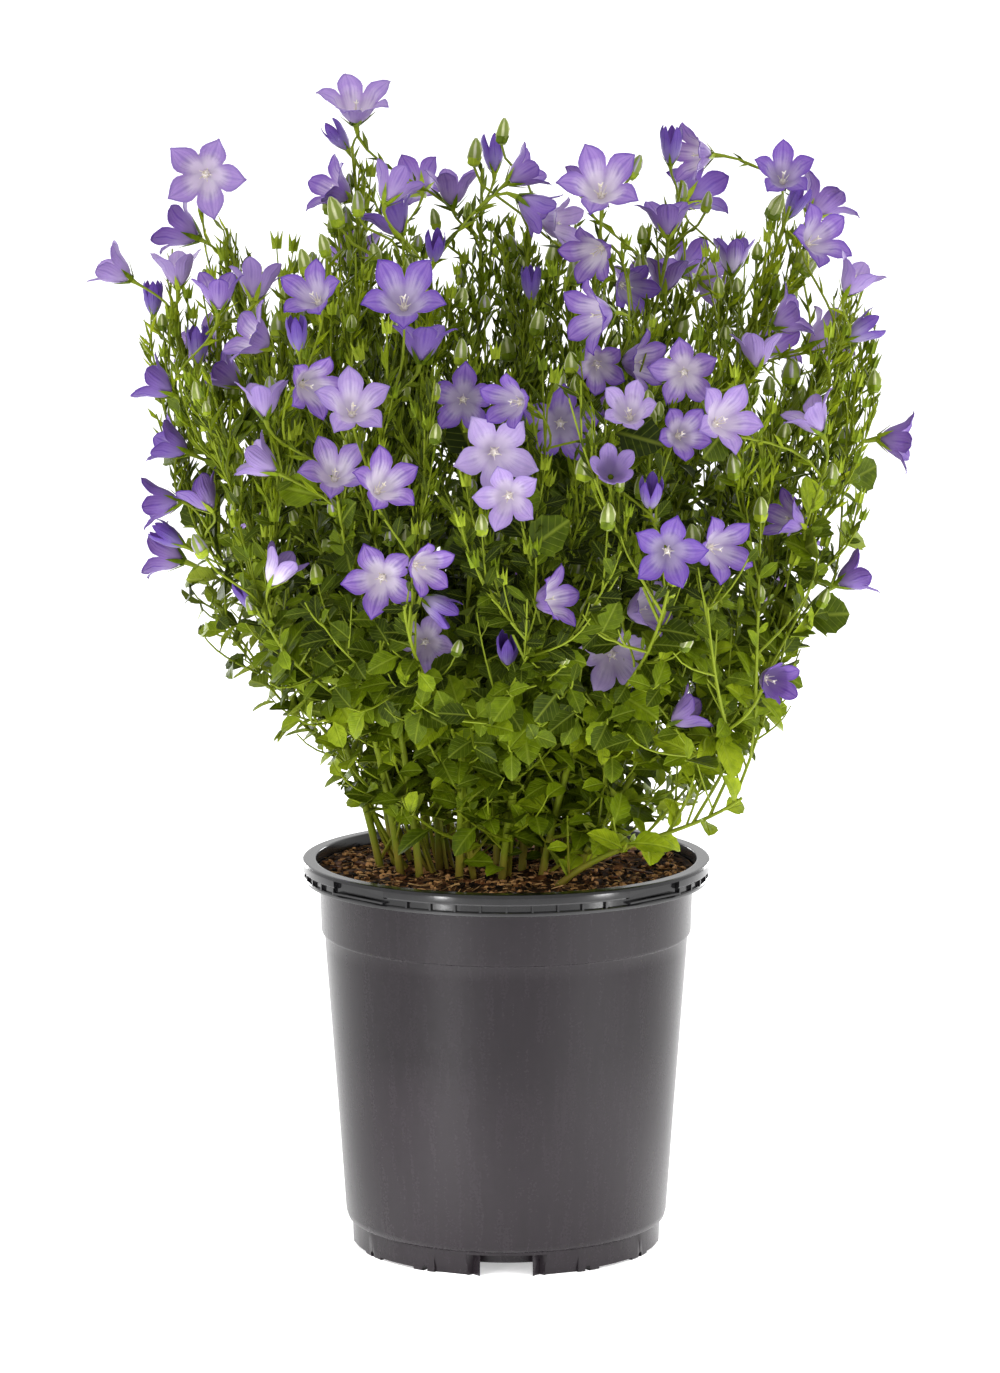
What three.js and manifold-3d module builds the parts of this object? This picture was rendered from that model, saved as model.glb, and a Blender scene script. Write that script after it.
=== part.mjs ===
// A potted bellflower: a bush of leafy stems and violet star-shaped bells in a black nursery pot.
// Millimetres, +Z up. The origin is on the pot's axis, at the surface that the pot stands on.
// The front of the plant looks along -Y.

import * as THREE from "three";
import { mergeVertices } from "three/addons/utils/BufferGeometryUtils.js";
import Module from "manifold-3d";

const wasm = await Module();
wasm.setup();

const TURN = Math.PI * 2;
const DEGREE = Math.PI / 180;
const CLEARANCE = 0.3;

// The pot: a nursery container with a rim 190 mm across
const pot = {
  height: 182,
  rimRadius: 95,
  mouthRadius: 89,
  wallThickness: 1.4,
  collarTopRadius: 86.5,
  collarTopHeight: 168,
  collarFootRadius: 85.9,
  collarFootHeight: 148.5,
  wallTopRadius: 84.4,
  wallTopHeight: 147,
  wallFootRadius: 74.9,
  wallFootHeight: 14.5,
  footRadius: 71.5,
  footHeight: 11.8,
  footThickness: 1.7,
  floorHeight: 10,
  sides: 28,
};
const rimSlots = { angles: [-136, -44, 44, 136], width: 30, depth: 2.2, height: 4.2, bottom: 172.6 };
const footOpenings = { angles: [-90, 30, 150], width: 27, notchWidth: 4.2, notchHeight: 3, notchStep: 32 };
const drainHoles = { count: 6, radius: 4.5, ringRadius: 58, sides: 6 };

// The soil, filled almost to the rim
const soil = { height: 173, dome: 2.5, roughness: 1.6, rings: 4, spokes: 16, stemDepth: 22 };

// The photograph's view: the eye's distance and height, its pitch and focal length in pixels
const eye = {
  distance: 2517,
  height: 656,
  side: -2.9,
  pitch: 8.9 * DEGREE,
  focal: 5512,
  column: 500,
  row: 686.5,
};

// Half the bush's width at each height
const bushReach = [
  { height: 176, reach: 45 },
  { height: 215, reach: 105 },
  { height: 260, reach: 150 },
  { height: 320, reach: 180 },
  { height: 400, reach: 188 },
  { height: 470, reach: 178 },
  { height: 550, reach: 120 },
];

// Leafy stems: the root's place in the soil (mm) and the tip's column and row in the photograph, with the
// depth of the tip (mm, away from the eye). A branch leaves its stem at a share of the stem's length.
const stemPlan = [
  { root: [-54, -8], tip: [172, 318], depth: -12, branches: [{ share: 0.5, tip: [196, 528], depth: -45 }] },
  { root: [-49, 7], tip: [226, 228], depth: 26, branches: [] },
  { root: [-46, -20], tip: [258, 316], depth: -72, branches: [{ share: 0.3, tip: [262, 606], depth: -112 }] },
  { root: [-38, -28], tip: [322, 312], depth: -48, branches: [{ share: 0.45, tip: [338, 500], depth: -138 }] },
  { root: [-36, 10], tip: [352, 146], depth: 12, branches: [] },
  { root: [-30, -12], tip: [398, 250], depth: -42, branches: [] },
  { root: [-18, 15], tip: [482, 168], depth: 37, branches: [] },
  { root: [-22, -32], tip: [476, 390], depth: -112, branches: [{ share: 0.3, tip: [404, 606], depth: -150 }] },
  { root: [-5, -4], tip: [532, 196], depth: -6, branches: [] },
  { root: [6, -12], tip: [603, 206], depth: -34, branches: [] },
  { root: [-4, -31], tip: [588, 388], depth: -116, branches: [{ share: 0.3, tip: [528, 618], depth: -152 }] },
  { root: [12, 11], tip: [682, 180], depth: 22, branches: [{ share: 0.5, tip: [726, 270], depth: 66 }] },
  { root: [13, -23], tip: [700, 388], depth: -92, branches: [{ share: 0.28, tip: [668, 590], depth: -146 }] },
  { root: [22, 2], tip: [790, 206], depth: -2, branches: [] },
  { root: [32, -12], tip: [846, 306], depth: -26, branches: [{ share: 0.5, tip: [842, 462], depth: 26 }] },
  { root: [24, -22], tip: [808, 540], depth: -74, branches: [{ share: 0.4, tip: [762, 690], depth: -108 }] },
  { root: [9, -45], tip: [742, 798], depth: -78, branches: [] },
  { root: [-46, 24], tip: [236, 392], depth: 112, branches: [] },
  { root: [-25, 37], tip: [366, 300], depth: 150, branches: [{ share: 0.32, tip: [322, 548], depth: 128 }] },
  { root: [-12, 38], tip: [520, 262], depth: 150, branches: [{ share: 0.34, tip: [548, 500], depth: 158 }] },
  { root: [7, 35], tip: [650, 300], depth: 138, branches: [{ share: 0.32, tip: [714, 528], depth: 126 }] },
  { root: [21, 26], tip: [792, 380], depth: 104, branches: [] },
];
const stemSize = {
  footRadius: 2.5,
  tipRadius: 0.9,
  branchRadius: 1.2,
  taper: 1.5,
  sides: 4,
  steps: 5,
  branchSides: 3,
  branchSteps: 4,
};

// How a stem bends: the shares of its rise and of its reach where its two bends lie, and a branch's likewise
const stemBend = { lowRise: 0.36, leastRise: 48, lowReach: 0.12, highRise: 0.34, highReach: 0.3 };
const branchBend = { turn: 0.6, upTurn: 0.5, reach: 0.35 };

// Blooms read from the photograph: column, row, width in pixels, the way each faces (F front, B back, L left,
// R right, U up, D down, the strongest first) and how far each is open, from 0 for furled to 1.
const bloomPlan = [
  [356, 107, 70, "UF", 1], [337, 135, 24, "UL", 0.1], [205, 175, 75, "F", 1], [115, 269, 56, "LU", 0.8],
  [177, 269, 56, "U", 0.8], [153, 297, 28, "U", 0.1], [218, 292, 52, "U", 0.7], [256, 284, 54, "UB", 0.8],
  [313, 295, 56, "FUL", 0.9], [254, 338, 64, "LUF", 1], [198, 346, 28, "U", 0.3],
  [226, 374, 52, "LU", 0.8], [157, 384, 48, "LU", 0.7], [297, 333, 26, "U", 0.1],
  [264, 399, 52, "U", 0.8], [310, 386, 52, "FR", 0.9], [353, 407, 66, "FU", 1], [171, 444, 54, "LU", 0.8],
  [161, 502, 50, "L", 0.7], [202, 495, 50, "UL", 0.7], [168, 536, 36, "LU", 0.2],
  [261, 462, 58, "LU", 0.8], [335, 472, 62, "FU", 1], [383, 485, 60, "FUR", 1], [279, 569, 54, "UR", 0.6],
  [249, 597, 36, "UL", 0.3], [381, 579, 66, "F", 1], [423, 567, 54, "FR", 0.7], [438, 607, 44, "RD", 0.4],
  [424, 643, 60, "F", 0.9], [508, 650, 42, "UF", 0.3], [335, 189, 64, "LUF", 0.9],
  [392, 188, 54, "UBR", 0.8], [392, 219, 70, "UL", 0.9], [435, 246, 26, "UF", 0.1],
  [404, 300, 72, "FU", 1], [422, 343, 66, "U", 0.9], [453, 188, 64, "U", 0.8], [493, 154, 34, "U", 0.3],
  [524, 172, 56, "RU", 0.8], [534, 208, 52, "RD", 0.8], [557, 223, 46, "RF", 0.7],
  [601, 188, 74, "FU", 1], [594, 253, 60, "FLD", 0.9], [596, 315, 66, "LF", 1], [629, 287, 50, "FR", 0.7],
  [671, 146, 28, "U", 0.3], [696, 155, 62, "LF", 0.9], [667, 218, 64, "U", 0.9], [666, 274, 66, "U", 0.9],
  [733, 256, 46, "U", 0.6], [707, 279, 42, "BR", 0.8], [784, 174, 56, "FU", 0.9],
  [796, 202, 34, "UR", 0.2], [817, 239, 62, "FRU", 1], [855, 279, 54, "UR", 0.7],
  [789, 317, 62, "RU", 0.9], [758, 350, 58, "U", 0.8], [863, 330, 42, "RU", 0.4], [463, 400, 62, "F", 1],
  [512, 402, 54, "FL", 0.8], [561, 424, 70, "F", 1], [495, 453, 73, "F", 1], [508, 497, 62, "F", 0.9],
  [598, 366, 50, "F", 0.7], [638, 362, 62, "RF", 0.9], [684, 373, 62, "F", 1], [629, 411, 52, "FU", 0.8],
  [723, 420, 64, "FRU", 1], [682, 434, 46, "FB", 0.7], [612, 470, 40, "FU", 0.5],
  [651, 494, 32, "UF", 0.3], [812, 417, 60, "UL", 0.9], [897, 440, 60, "R", 0.9], [668, 552, 64, "F", 1],
  [719, 549, 62, "FR", 1], [789, 519, 60, "LUF", 0.8], [853, 576, 46, "RU", 0.7],
  [551, 599, 60, "RFU", 0.9], [643, 609, 62, "RFU", 0.9], [613, 656, 69, "F", 1],
  [773, 681, 46, "FR", 0.6], [687, 714, 46, "RU", 0.7], [531, 282, 26, "U", 0.1],
];
const BLOOMS_BEHIND = 22;

// Buds read from the photograph: column, row and length in pixels
const budPlan = [
  [475, 152, 28], [503, 131, 26], [519, 137, 26], [335, 212, 32], [358, 204, 26], [324, 246, 24],
  [304, 262, 26], [468, 213, 24], [435, 219, 22], [553, 254, 30], [579, 272, 28], [635, 167, 26],
  [682, 192, 24], [707, 202, 22], [776, 207, 28], [810, 266, 24], [826, 284, 28], [868, 352, 24],
  [868, 374, 24], [821, 355, 26], [799, 396, 24], [753, 393, 26], [750, 457, 28], [747, 502, 30],
  [827, 571, 30], [461, 352, 26], [560, 384, 22], [575, 387, 22], [212, 383, 28], [199, 546, 26],
  [335, 612, 34], [425, 659, 28], [426, 515, 26], [456, 510, 24], [462, 610, 24], [651, 655, 28],
  [669, 623, 24], [689, 663, 24],
];

// Lengths and turns of what grows on the stems
const bloomDepth = 16;
const bloomBall = 3.7;
const stalkRadius = 0.8;
const leafThickness = 1.5;
const leaf = { longest: 24, shortest: 14, spacing: 82, lowest: 196, highest: 400 };
const shoot = { shortest: 24, longest: 40, spacing: 70, highest: 300, radius: 0.8, leaves: 2 };
const bract = { length: 11, width: 2.6, spacing: 46, lowest: 330, thickness: 1 };
const GOLDEN_TURN = 137.5 * DEGREE;
const budSize = { lengthPerPixel: 0.46, radiusPerPixel: 0.115 };
const bloomSize = { radiusPerPixel: 0.236, least: 14.5, most: 17.5, modelled: 17 };
const behind = {
  lowest: 270,
  highest: 490,
  nearest: 0.86,
  farthest: 0.955,
  fromAngle: 12,
  toAngle: 168,
  tries: 12,
};
const sprayRules = { most: 36, mostBlooms: 7, startCost: 44, lateCost: 400, lowest: 200, shortStalk: 24 };

// The room that each kind of thing asks for and then takes, beyond its own balls' centres
const clearRoom = {
  limb: 0.3,
  stalk: { ask: 1.5, take: 1 },
  bud: { ask: 0.6, take: 0.2 },
  route: 0.9,
  shoot: 1.1,
  leaf: { ask: 2.9, take: 2.1 },
  bract: { ask: 0.9, take: 0.8 },
};

// Vectors as plain triples
const add = (a, b) => [a[0] + b[0], a[1] + b[1], a[2] + b[2]];
const subtract = (a, b) => [a[0] - b[0], a[1] - b[1], a[2] - b[2]];
const times = (a, k) => [a[0] * k, a[1] * k, a[2] * k];
const dot = (a, b) => a[0] * b[0] + a[1] * b[1] + a[2] * b[2];
const cross = (a, b) => [a[1] * b[2] - a[2] * b[1], a[2] * b[0] - a[0] * b[2], a[0] * b[1] - a[1] * b[0]];
const size = (a) => Math.sqrt(dot(a, a));
const unit = (a) => times(a, 1 / Math.max(size(a), 1e-9));
const mix = (a, b, share) => add(times(a, 1 - share), times(b, share));
const gapBetween = (a, b) => size(subtract(a, b));

// A repeatable stream of numbers from 0 to 1
function seededRandom(seed) {
  let state = seed >>> 0;
  return () => {
    state = (state + 0x6d2b79f5) >>> 0;
    let t = state;
    t = Math.imul(t ^ (t >>> 15), t | 1);
    t ^= t + Math.imul(t ^ (t >>> 7), t | 61);
    return ((t ^ (t >>> 14)) >>> 0) / 4294967296;
  };
}

const spread = (draw, low, high) => low + (high - low) * draw();

function bezier(a, b, c, d, t) {
  const s = 1 - t;
  const start = add(times(a, s * s * s), times(b, 3 * s * s * t));
  return add(start, add(times(c, 3 * s * t * t), times(d, t * t * t)));
}

// A route as a list of points along a curve with given end directions
function curvedRoute(from, fromWay, to, toWay, steps, ease) {
  const reach = gapBetween(from, to) * ease;
  const second = add(from, times(fromWay, reach));
  const third = subtract(to, times(toWay, reach));
  return Array.from({ length: steps + 1 }, (_, i) => bezier(from, second, third, to, i / steps));
}

// Two directions square to an axis and to each other
function squareTo(axis) {
  const helper = Math.abs(axis[2]) < 0.9 ? [0, 0, 1] : [0, 1, 0];
  const right = unit(cross(helper, axis));
  return [right, cross(axis, right)];
}

// The place of a pixel of the photograph, at a depth chosen for it
function placeSeen(column, row, depth) {
  const slope = Math.atan((eye.row - row) / eye.focal);
  const height = eye.height - (eye.distance + depth) * Math.tan(eye.pitch - slope);
  const range = (eye.distance + depth) * Math.cos(eye.pitch) + (eye.height - height) * Math.sin(eye.pitch);
  return [((column - eye.column) / eye.focal) * range + eye.side, depth, height];
}

function reachAt(height) {
  const last = bushReach[bushReach.length - 1];
  if (height >= last.height) return last.reach;
  const upper = bushReach.findIndex((level) => level.height > height);
  if (upper <= 0) return bushReach[0].reach;
  const low = bushReach[upper - 1];
  const high = bushReach[upper];
  const share = (height - low.height) / (high.height - low.height);
  return low.reach + (high.reach - low.reach) * share;
}

const compass = { F: [0, -1, 0], B: [0, 1, 0], L: [-1, 0, 0], R: [1, 0, 0], U: [0, 0, 1], D: [0, 0, -1] };
const compassWeights = [1, 0.62, 0.42];

function facingOf(letters, draw) {
  let facing = [spread(draw, -0.1, 0.1), spread(draw, -0.1, 0.1), spread(draw, -0.1, 0.1)];
  [...letters].forEach((letter, i) => {
    facing = add(facing, times(compass[letter], compassWeights[i]));
  });
  return unit(facing);
}

// Keeps what has been placed, as balls on a grid, and tells where there is room for more
class Room {
  constructor() {
    this.cell = 12;
    this.cells = new Map();
  }

  index(value) {
    return Math.floor(value / this.cell);
  }

  put(points, radius, owner) {
    for (const point of points) {
      const key = point.map((value) => this.index(value)).join();
      if (!this.cells.has(key)) this.cells.set(key, []);
      this.cells.get(key).push({ point, radius, owner });
    }
  }

  // Whether the balls clear everything but what the named owners have placed
  isFree(points, radius, ...owners) {
    return points.every((point) => this.isPointFree(point, radius, owners));
  }

  isPointFree(point, radius, owners) {
    const [i, j, k] = point.map((value) => this.index(value));
    for (let a = i - 1; a <= i + 1; a++) {
      for (let b = j - 1; b <= j + 1; b++) {
        for (let c = k - 1; c <= k + 1; c++) {
          for (const other of this.cells.get([a, b, c].join()) ?? []) {
            const near = gapBetween(point, other.point) < radius + other.radius;
            if (near && !owners.includes(other.owner)) return false;
          }
        }
      }
    }
    return true;
  }
}

// The star-shaped bell: its outline in its own frame, from the joint with the stalk outwards
function bellShape(radius, open) {
  const grow = (shut, wide) => (shut + (wide - shut) * open) * (radius / bloomSize.modelled);
  return {
    sinus: { radius: grow(4.4, 8.4), height: grow(12, 10.6) },
    shoulder: { radius: grow(4.8, 12.9), height: grow(17, 14), angle: (30 - 5 * open) * DEGREE },
    tip: { radius: grow(1.6, 17), height: grow(25, 16.4) },
    keel: { radius: grow(4.8, 9.8), height: grow(12, 10.6) },
    throatHeight: 3,
  };
}

function bellPoint(bloom, radius, angle, height) {
  const across = add(times(bloom.right, Math.cos(angle) * radius), times(bloom.up, Math.sin(angle) * radius));
  return add(add(bloom.base, across), times(bloom.facing, height));
}

function bloomAt(centre, facing, radius, open, roll) {
  const [right, up] = squareTo(facing);
  const base = subtract(centre, times(facing, bloomDepth / 2));
  return { base, facing, right, up, radius, open, roll, simple: open < 0.75, shape: bellShape(radius, open) };
}

// Points spread over a bell, for finding room
function bloomBalls(bloom) {
  const { sinus, shoulder, tip } = bloom.shape;
  const points = [bellPoint(bloom, 0, 0, 4)];
  for (let lobe = 0; lobe < 5; lobe++) {
    const angle = bloom.roll + (lobe * TURN) / 5;
    points.push(bellPoint(bloom, tip.radius, angle, tip.height));
    points.push(bellPoint(bloom, shoulder.radius * 0.96, angle, shoulder.height * 0.98));
    points.push(bellPoint(bloom, sinus.radius * 0.75, angle, sinus.height * 0.8));
    points.push(bellPoint(bloom, sinus.radius, angle + TURN / 10, sinus.height));
    points.push(bellPoint(bloom, shoulder.radius, angle - shoulder.angle, shoulder.height));
    points.push(bellPoint(bloom, shoulder.radius, angle + shoulder.angle, shoulder.height));
  }
  return points;
}

// The growth of the whole plant, as routes and places
function growPlant() {
  const room = new Room();
  const stems = stemPlan.map((plan, index) => growStem(plan, index));
  for (const stem of stems) {
    stem.limbs.forEach((limb) => room.put(limb.balls, limb.radii[0] + clearRoom.limb, stem.name));
  }
  const blooms = placeBlooms(room, stems);
  const sprays = joinBlooms(room, stems, blooms);
  growBuds(room, stems);
  stems.forEach((stem) => growShoots(room, stem));
  stems.forEach((stem) => growLeaves(room, stem));
  stems.forEach((stem) => growBracts(room, stem));
  return { stems, sprays };
}

const numbered = (word, index) => `${word}_${String(index + 1).padStart(2, "0")}`;

function growStem(plan, index) {
  const foot = [plan.root[0], plan.root[1], soil.height - soil.stemDepth];
  const tip = placeSeen(plan.tip[0], plan.tip[1], plan.depth);
  const rise = tip[2] - foot[2];
  const outward = [tip[0] - foot[0], tip[1] - foot[1], 0];
  const { lowRise, leastRise, lowReach, highRise, highReach } = stemBend;
  const second = add(foot, add(times(outward, lowReach), [0, 0, Math.max(rise * lowRise, leastRise)]));
  const third = subtract(tip, add(times(outward, highReach), [0, 0, rise * highRise]));
  const point = (t) => bezier(foot, second, third, tip, t);
  const stem = { name: numbered("leafy_stem", index), index, limbs: [] };
  Object.assign(stem, { buds: [], leaves: [], shoots: [], bracts: [] });
  stem.limbs.push(limbAlong(point, stemSize.steps, stemSize.footRadius, stemSize.tipRadius, stemSize.sides));
  for (const branch of plan.branches) {
    const start = point(branch.share);
    const end = placeSeen(branch.tip[0], branch.tip[1], branch.depth);
    const length = gapBetween(start, end);
    const along = unit(subtract(point(branch.share + 0.04), start));
    const leave = unit(mix(along, unit(subtract(end, start)), branchBend.turn));
    const arrive = unit(mix(unit(subtract(end, start)), [0, 0, 1], branchBend.upTurn));
    const outer = add(start, times(leave, length * branchBend.reach));
    const inner = subtract(end, times(arrive, length * branchBend.reach));
    const branchPoint = (t) => bezier(start, outer, inner, end, t);
    const { branchRadius, tipRadius, branchSides, branchSteps } = stemSize;
    stem.limbs.push(limbAlong(branchPoint, branchSteps, branchRadius, tipRadius, branchSides));
  }
  return stem;
}

// Two directions across a path at each of its points, turning as little as they can from one to the next
function ringFrames(path, openWay) {
  let right = squareTo(unit(subtract(path[1], path[0])))[0];
  return path.map((_, i) => {
    const before = path[Math.max(i - 1, 0)];
    const after = path[Math.min(i + 1, path.length - 1)];
    const direction = openWay && i === path.length - 1 ? openWay : unit(subtract(after, before));
    right = unit(subtract(right, times(direction, dot(right, direction))));
    return [right, cross(direction, right)];
  });
}

// A tapered limb, with points close together along it for finding room and places to grow from
function limbAlong(point, steps, footRadius, tipRadius, sides) {
  const path = Array.from({ length: steps + 1 }, (_, i) => point(i / steps));
  const radii = path.map((_, i) => tipRadius + (footRadius - tipRadius) * (1 - i / steps) ** stemSize.taper);
  const length = path.slice(1).reduce((sum, next, i) => sum + gapBetween(next, path[i]), 0);
  const count = Math.round(length / 4);
  const balls = Array.from({ length: count + 1 }, (_, i) => along(path, i / count).place);
  return { path, radii, sides, length, balls, frames: ringFrames(path) };
}

// The place, the direction and the thickness at a share of a path's length, measured along its straight steps
function along(path, share) {
  const step = Math.min(Math.floor(share * (path.length - 1)), path.length - 2);
  const within = share * (path.length - 1) - step;
  const direction = unit(subtract(path[step + 1], path[step]));
  return { place: mix(path[step], path[step + 1], within), direction };
}

function radiusAt(limb, share) {
  const step = Math.min(Math.floor(share * (limb.radii.length - 1)), limb.radii.length - 2);
  const within = share * (limb.radii.length - 1) - step;
  return limb.radii[step] + (limb.radii[step + 1] - limb.radii[step]) * within;
}

// How far a limb's faceted skin lies from its axis towards a direction
function skinAt(limb, share, away) {
  const [right, up] = limb.frames[Math.round(share * (limb.path.length - 1))];
  const facet = TURN / limb.sides;
  const angle = Math.atan2(dot(away, up), dot(away, right));
  const within = angle - Math.floor(angle / facet) * facet - facet / 2;
  return (radiusAt(limb, share) * Math.cos(facet / 2)) / Math.cos(within);
}

const depthTries = [0, 8, -8, 16, -16, 24, 32, -24, 40, 50];

// The depth of the limb that carries what is seen at a place: one that ends or passes a little below it, the
// front ones first where the place is low in the bush
function depthBeside(stems, place) {
  const frontShare = place[2] > 445 ? 0.05 : 0.5;
  let best = null;
  stems.forEach((stem) => {
    stem.limbs.forEach((limb) => {
      limb.balls.forEach((ball) => {
        const rise = place[2] - ball[2];
        const aside = Math.abs(place[0] - ball[0]);
        if (rise < 6 || rise > 80 || aside > 10 + rise * 0.6) return;
        const cost = aside + rise * 0.3 + ball[1] * frontShare;
        if (!best || cost < best.cost) best = { cost, depth: ball[1] };
      });
    });
  });
  return best;
}

// Blooms seen in the photograph stand near the front of the bush, or within it where they top it
function placeBlooms(room, stems) {
  const blooms = [];
  bloomPlan.forEach(([column, row, width, letters, open], index) => {
    const draw = seededRandom(1000 + index);
    const facing = facingOf(letters, draw);
    const roll = spread(draw, 0, TURN);
    const first = placeSeen(column, row, 0);
    const reach = reachAt(first[2]);
    const half = Math.sqrt(Math.max(0, reach * reach - first[0] * first[0]));
    const carrier = depthBeside(stems, first);
    const wanted = carrier ? carrier.depth - spread(draw, 8, 16) : -spread(draw, 0.4, 0.6) * half;
    const { radiusPerPixel, least, most } = bloomSize;
    const radius = Math.min(Math.max(width * radiusPerPixel, least), most);
    let bloom = null;
    for (const shift of depthTries) {
      bloom = bloomAt(placeSeen(column, row, wanted + shift), facing, radius, open, roll);
      if (room.isFree(bloomBalls(bloom), bloomBall)) break;
    }
    room.put(bloomBalls(bloom), bloomBall, `bloom_${index}`);
    blooms.push(bloom);
  });
  for (let index = 0; index < BLOOMS_BEHIND; index++) {
    const draw = seededRandom(2000 + index);
    for (let attempt = 0; attempt < behind.tries; attempt++) {
      const angle = spread(draw, behind.fromAngle, behind.toAngle) * DEGREE;
      const height = spread(draw, behind.lowest, behind.highest);
      const reach = reachAt(height) * spread(draw, behind.nearest, behind.farthest);
      const centre = [Math.cos(angle) * reach, Math.sin(angle) * reach, height];
      const facing = unit([Math.cos(angle), Math.sin(angle), spread(draw, 0.2, 1.4)]);
      const radius = spread(draw, bloomSize.least, bloomSize.modelled);
      const bloom = bloomAt(centre, facing, radius, spread(draw, 0.7, 1), spread(draw, 0, TURN));
      if (!room.isFree(bloomBalls(bloom), bloomBall)) continue;
      room.put(bloomBalls(bloom), bloomBall, `bloom_${bloomPlan.length + index}`);
      bloom.simple = true;
      blooms.push(bloom);
      break;
    }
  }
  return blooms;
}

// Places on a limb that a stalk to the target can leave from
function footholds(limb, bloom, sunk) {
  const target = bloom.base;
  const found = [];
  const count = Math.max(3, Math.round(limb.length / 7));
  for (let i = 1; i <= count; i++) {
    const share = i / count;
    const { place, direction } = along(limb.path, share);
    const rise = target[2] - place[2];
    const aside = Math.hypot(target[0] - place[0], target[1] - place[1]);
    if (rise < 12 || place[2] < sprayRules.lowest || rise < aside * 0.35) continue;
    const toward = subtract(target, place);
    const sideways = unit(subtract(toward, times(direction, dot(toward, direction))));
    const atEnd = share > 0.99;
    let offset = 0;
    if (!sunk && atEnd) offset = CLEARANCE + 0.25;
    if (!sunk && !atEnd) offset = CLEARANCE + skinAt(limb, share, sideways) + stalkRadius;
    const start = add(place, times(atEnd ? direction : sideways, offset));
    const turnBack = 1 - dot(unit(toward), bloom.facing);
    const cost = gapBetween(start, target) * (1 + turnBack * 0.3) + turnBack * 12 + aside * 0.6;
    found.push({ start, way: unit(mix(direction, unit(toward), 0.5)), cost });
  }
  return found;
}

// Joins each bloom by a stalk to a spray near it, or to a stem as a new spray
function joinBlooms(room, stems, blooms) {
  const sprays = [];
  const order = blooms.map((_, i) => i).sort((a, b) => blooms[a].base[2] - blooms[b].base[2]);
  for (const index of order) {
    const bloom = blooms[index];
    const choices = [];
    sprays.forEach((spray) => {
      if (spray.blooms.length >= sprayRules.mostBlooms) return;
      spray.stalks.forEach((stalk) => {
        footholds(stalk, bloom, true).forEach((hold) => choices.push({ ...hold, spray }));
      });
    });
    const fresh = sprays.length < sprayRules.most ? sprayRules.startCost : sprayRules.lateCost;
    stems.forEach((stem) => {
      stem.limbs.forEach((limb) => {
        const holds = footholds(limb, bloom, false);
        holds.forEach((hold) => choices.push({ ...hold, cost: hold.cost + fresh, stem }));
      });
    });
    choices.sort((a, b) => a.cost - b.cost);
    let kept = null;
    for (const choice of choices.slice(0, 160)) {
      const length = gapBetween(choice.start, bloom.base);
      const steps = length < sprayRules.shortStalk ? 1 : 2;
      const path = curvedRoute(choice.start, choice.way, bloom.base, bloom.facing, steps, 0.34);
      const footRadius = choice.spray ? 0.5 : stalkRadius;
      const radii = steps === 1 ? [footRadius, 1.8] : [footRadius, stalkRadius, 1.8];
      const stalk = { path, radii, sides: 3, length };
      const count = Math.max(4, Math.round(stalk.length / 4));
      stalk.balls = Array.from({ length: count }, (_, i) => along(path, i / count).place);
      const owners = [`bloom_${index}`, choice.spray?.name];
      if (room.isFree(stalk.balls.slice(1), clearRoom.stalk.ask, ...owners)) {
        kept = { ...choice, stalk };
        break;
      }
      kept ??= { ...choice, stalk };
    }
    if (!kept) continue;
    let spray = kept.spray;
    if (!spray) {
      spray = { name: numbered("flower_spray", sprays.length), stalks: [], blooms: [] };
      sprays.push(spray);
    }
    spray.stalks.push(kept.stalk);
    spray.blooms.push(bloom);
    room.put(kept.stalk.balls, clearRoom.stalk.take, spray.name);
  }
  return sprays;
}

// Each bud hangs on a stalk from the nearest leafy stem
function growBuds(room, stems) {
  budPlan.forEach(([column, row, length], index) => {
    const draw = seededRandom(3000 + index);
    const lean = [spread(draw, -0.3, 0.3), spread(draw, -0.3, 0.1), 1];
    const first = placeSeen(column, row, 0);
    const choices = [];
    stems.forEach((stem) => {
      stem.limbs.forEach((limb) => {
        for (let i = 4; i <= 20; i++) {
          const { place, direction } = along(limb.path, i / 20);
          const target = placeSeen(column, row, place[1] - 6);
          const rise = target[2] - place[2];
          if (rise < 4 || rise > 45 || Math.abs(target[0] - place[0]) > 6 + rise * 0.8) continue;
          choices.push({ stem, place, direction, target, cost: gapBetween(place, target) });
        }
      });
    });
    choices.sort((a, b) => a.cost - b.cost);
    for (const choice of choices.slice(0, 10)) {
      const facing = unit(add(lean, times([first[0], 0, 0], 1 / 300)));
      const radius = length * budSize.radiusPerPixel;
      const base = subtract(choice.target, times(facing, (length * budSize.lengthPerPixel) / 2));
      const bud = { base, facing, length: length * budSize.lengthPerPixel, radius };
      const balls = [0.15, 0.5, 0.85].map((share) => add(base, times(facing, bud.length * share)));
      const path = curvedRoute(choice.place, choice.direction, base, facing, 4, 0.34);
      const route = [1, 2, 3, 4, 5, 6, 7].map((i) => along(path, i / 7).place);
      if (!room.isFree(balls, radius + clearRoom.bud.ask)) continue;
      if (!room.isFree(route, clearRoom.route, choice.stem.name)) continue;
      room.put(balls, radius + clearRoom.bud.take, choice.stem.name);
      room.put(route, clearRoom.route, choice.stem.name);
      choice.stem.buds.push({ ...bud, route: [path[0], path[4]] });
      break;
    }
  });
}

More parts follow.
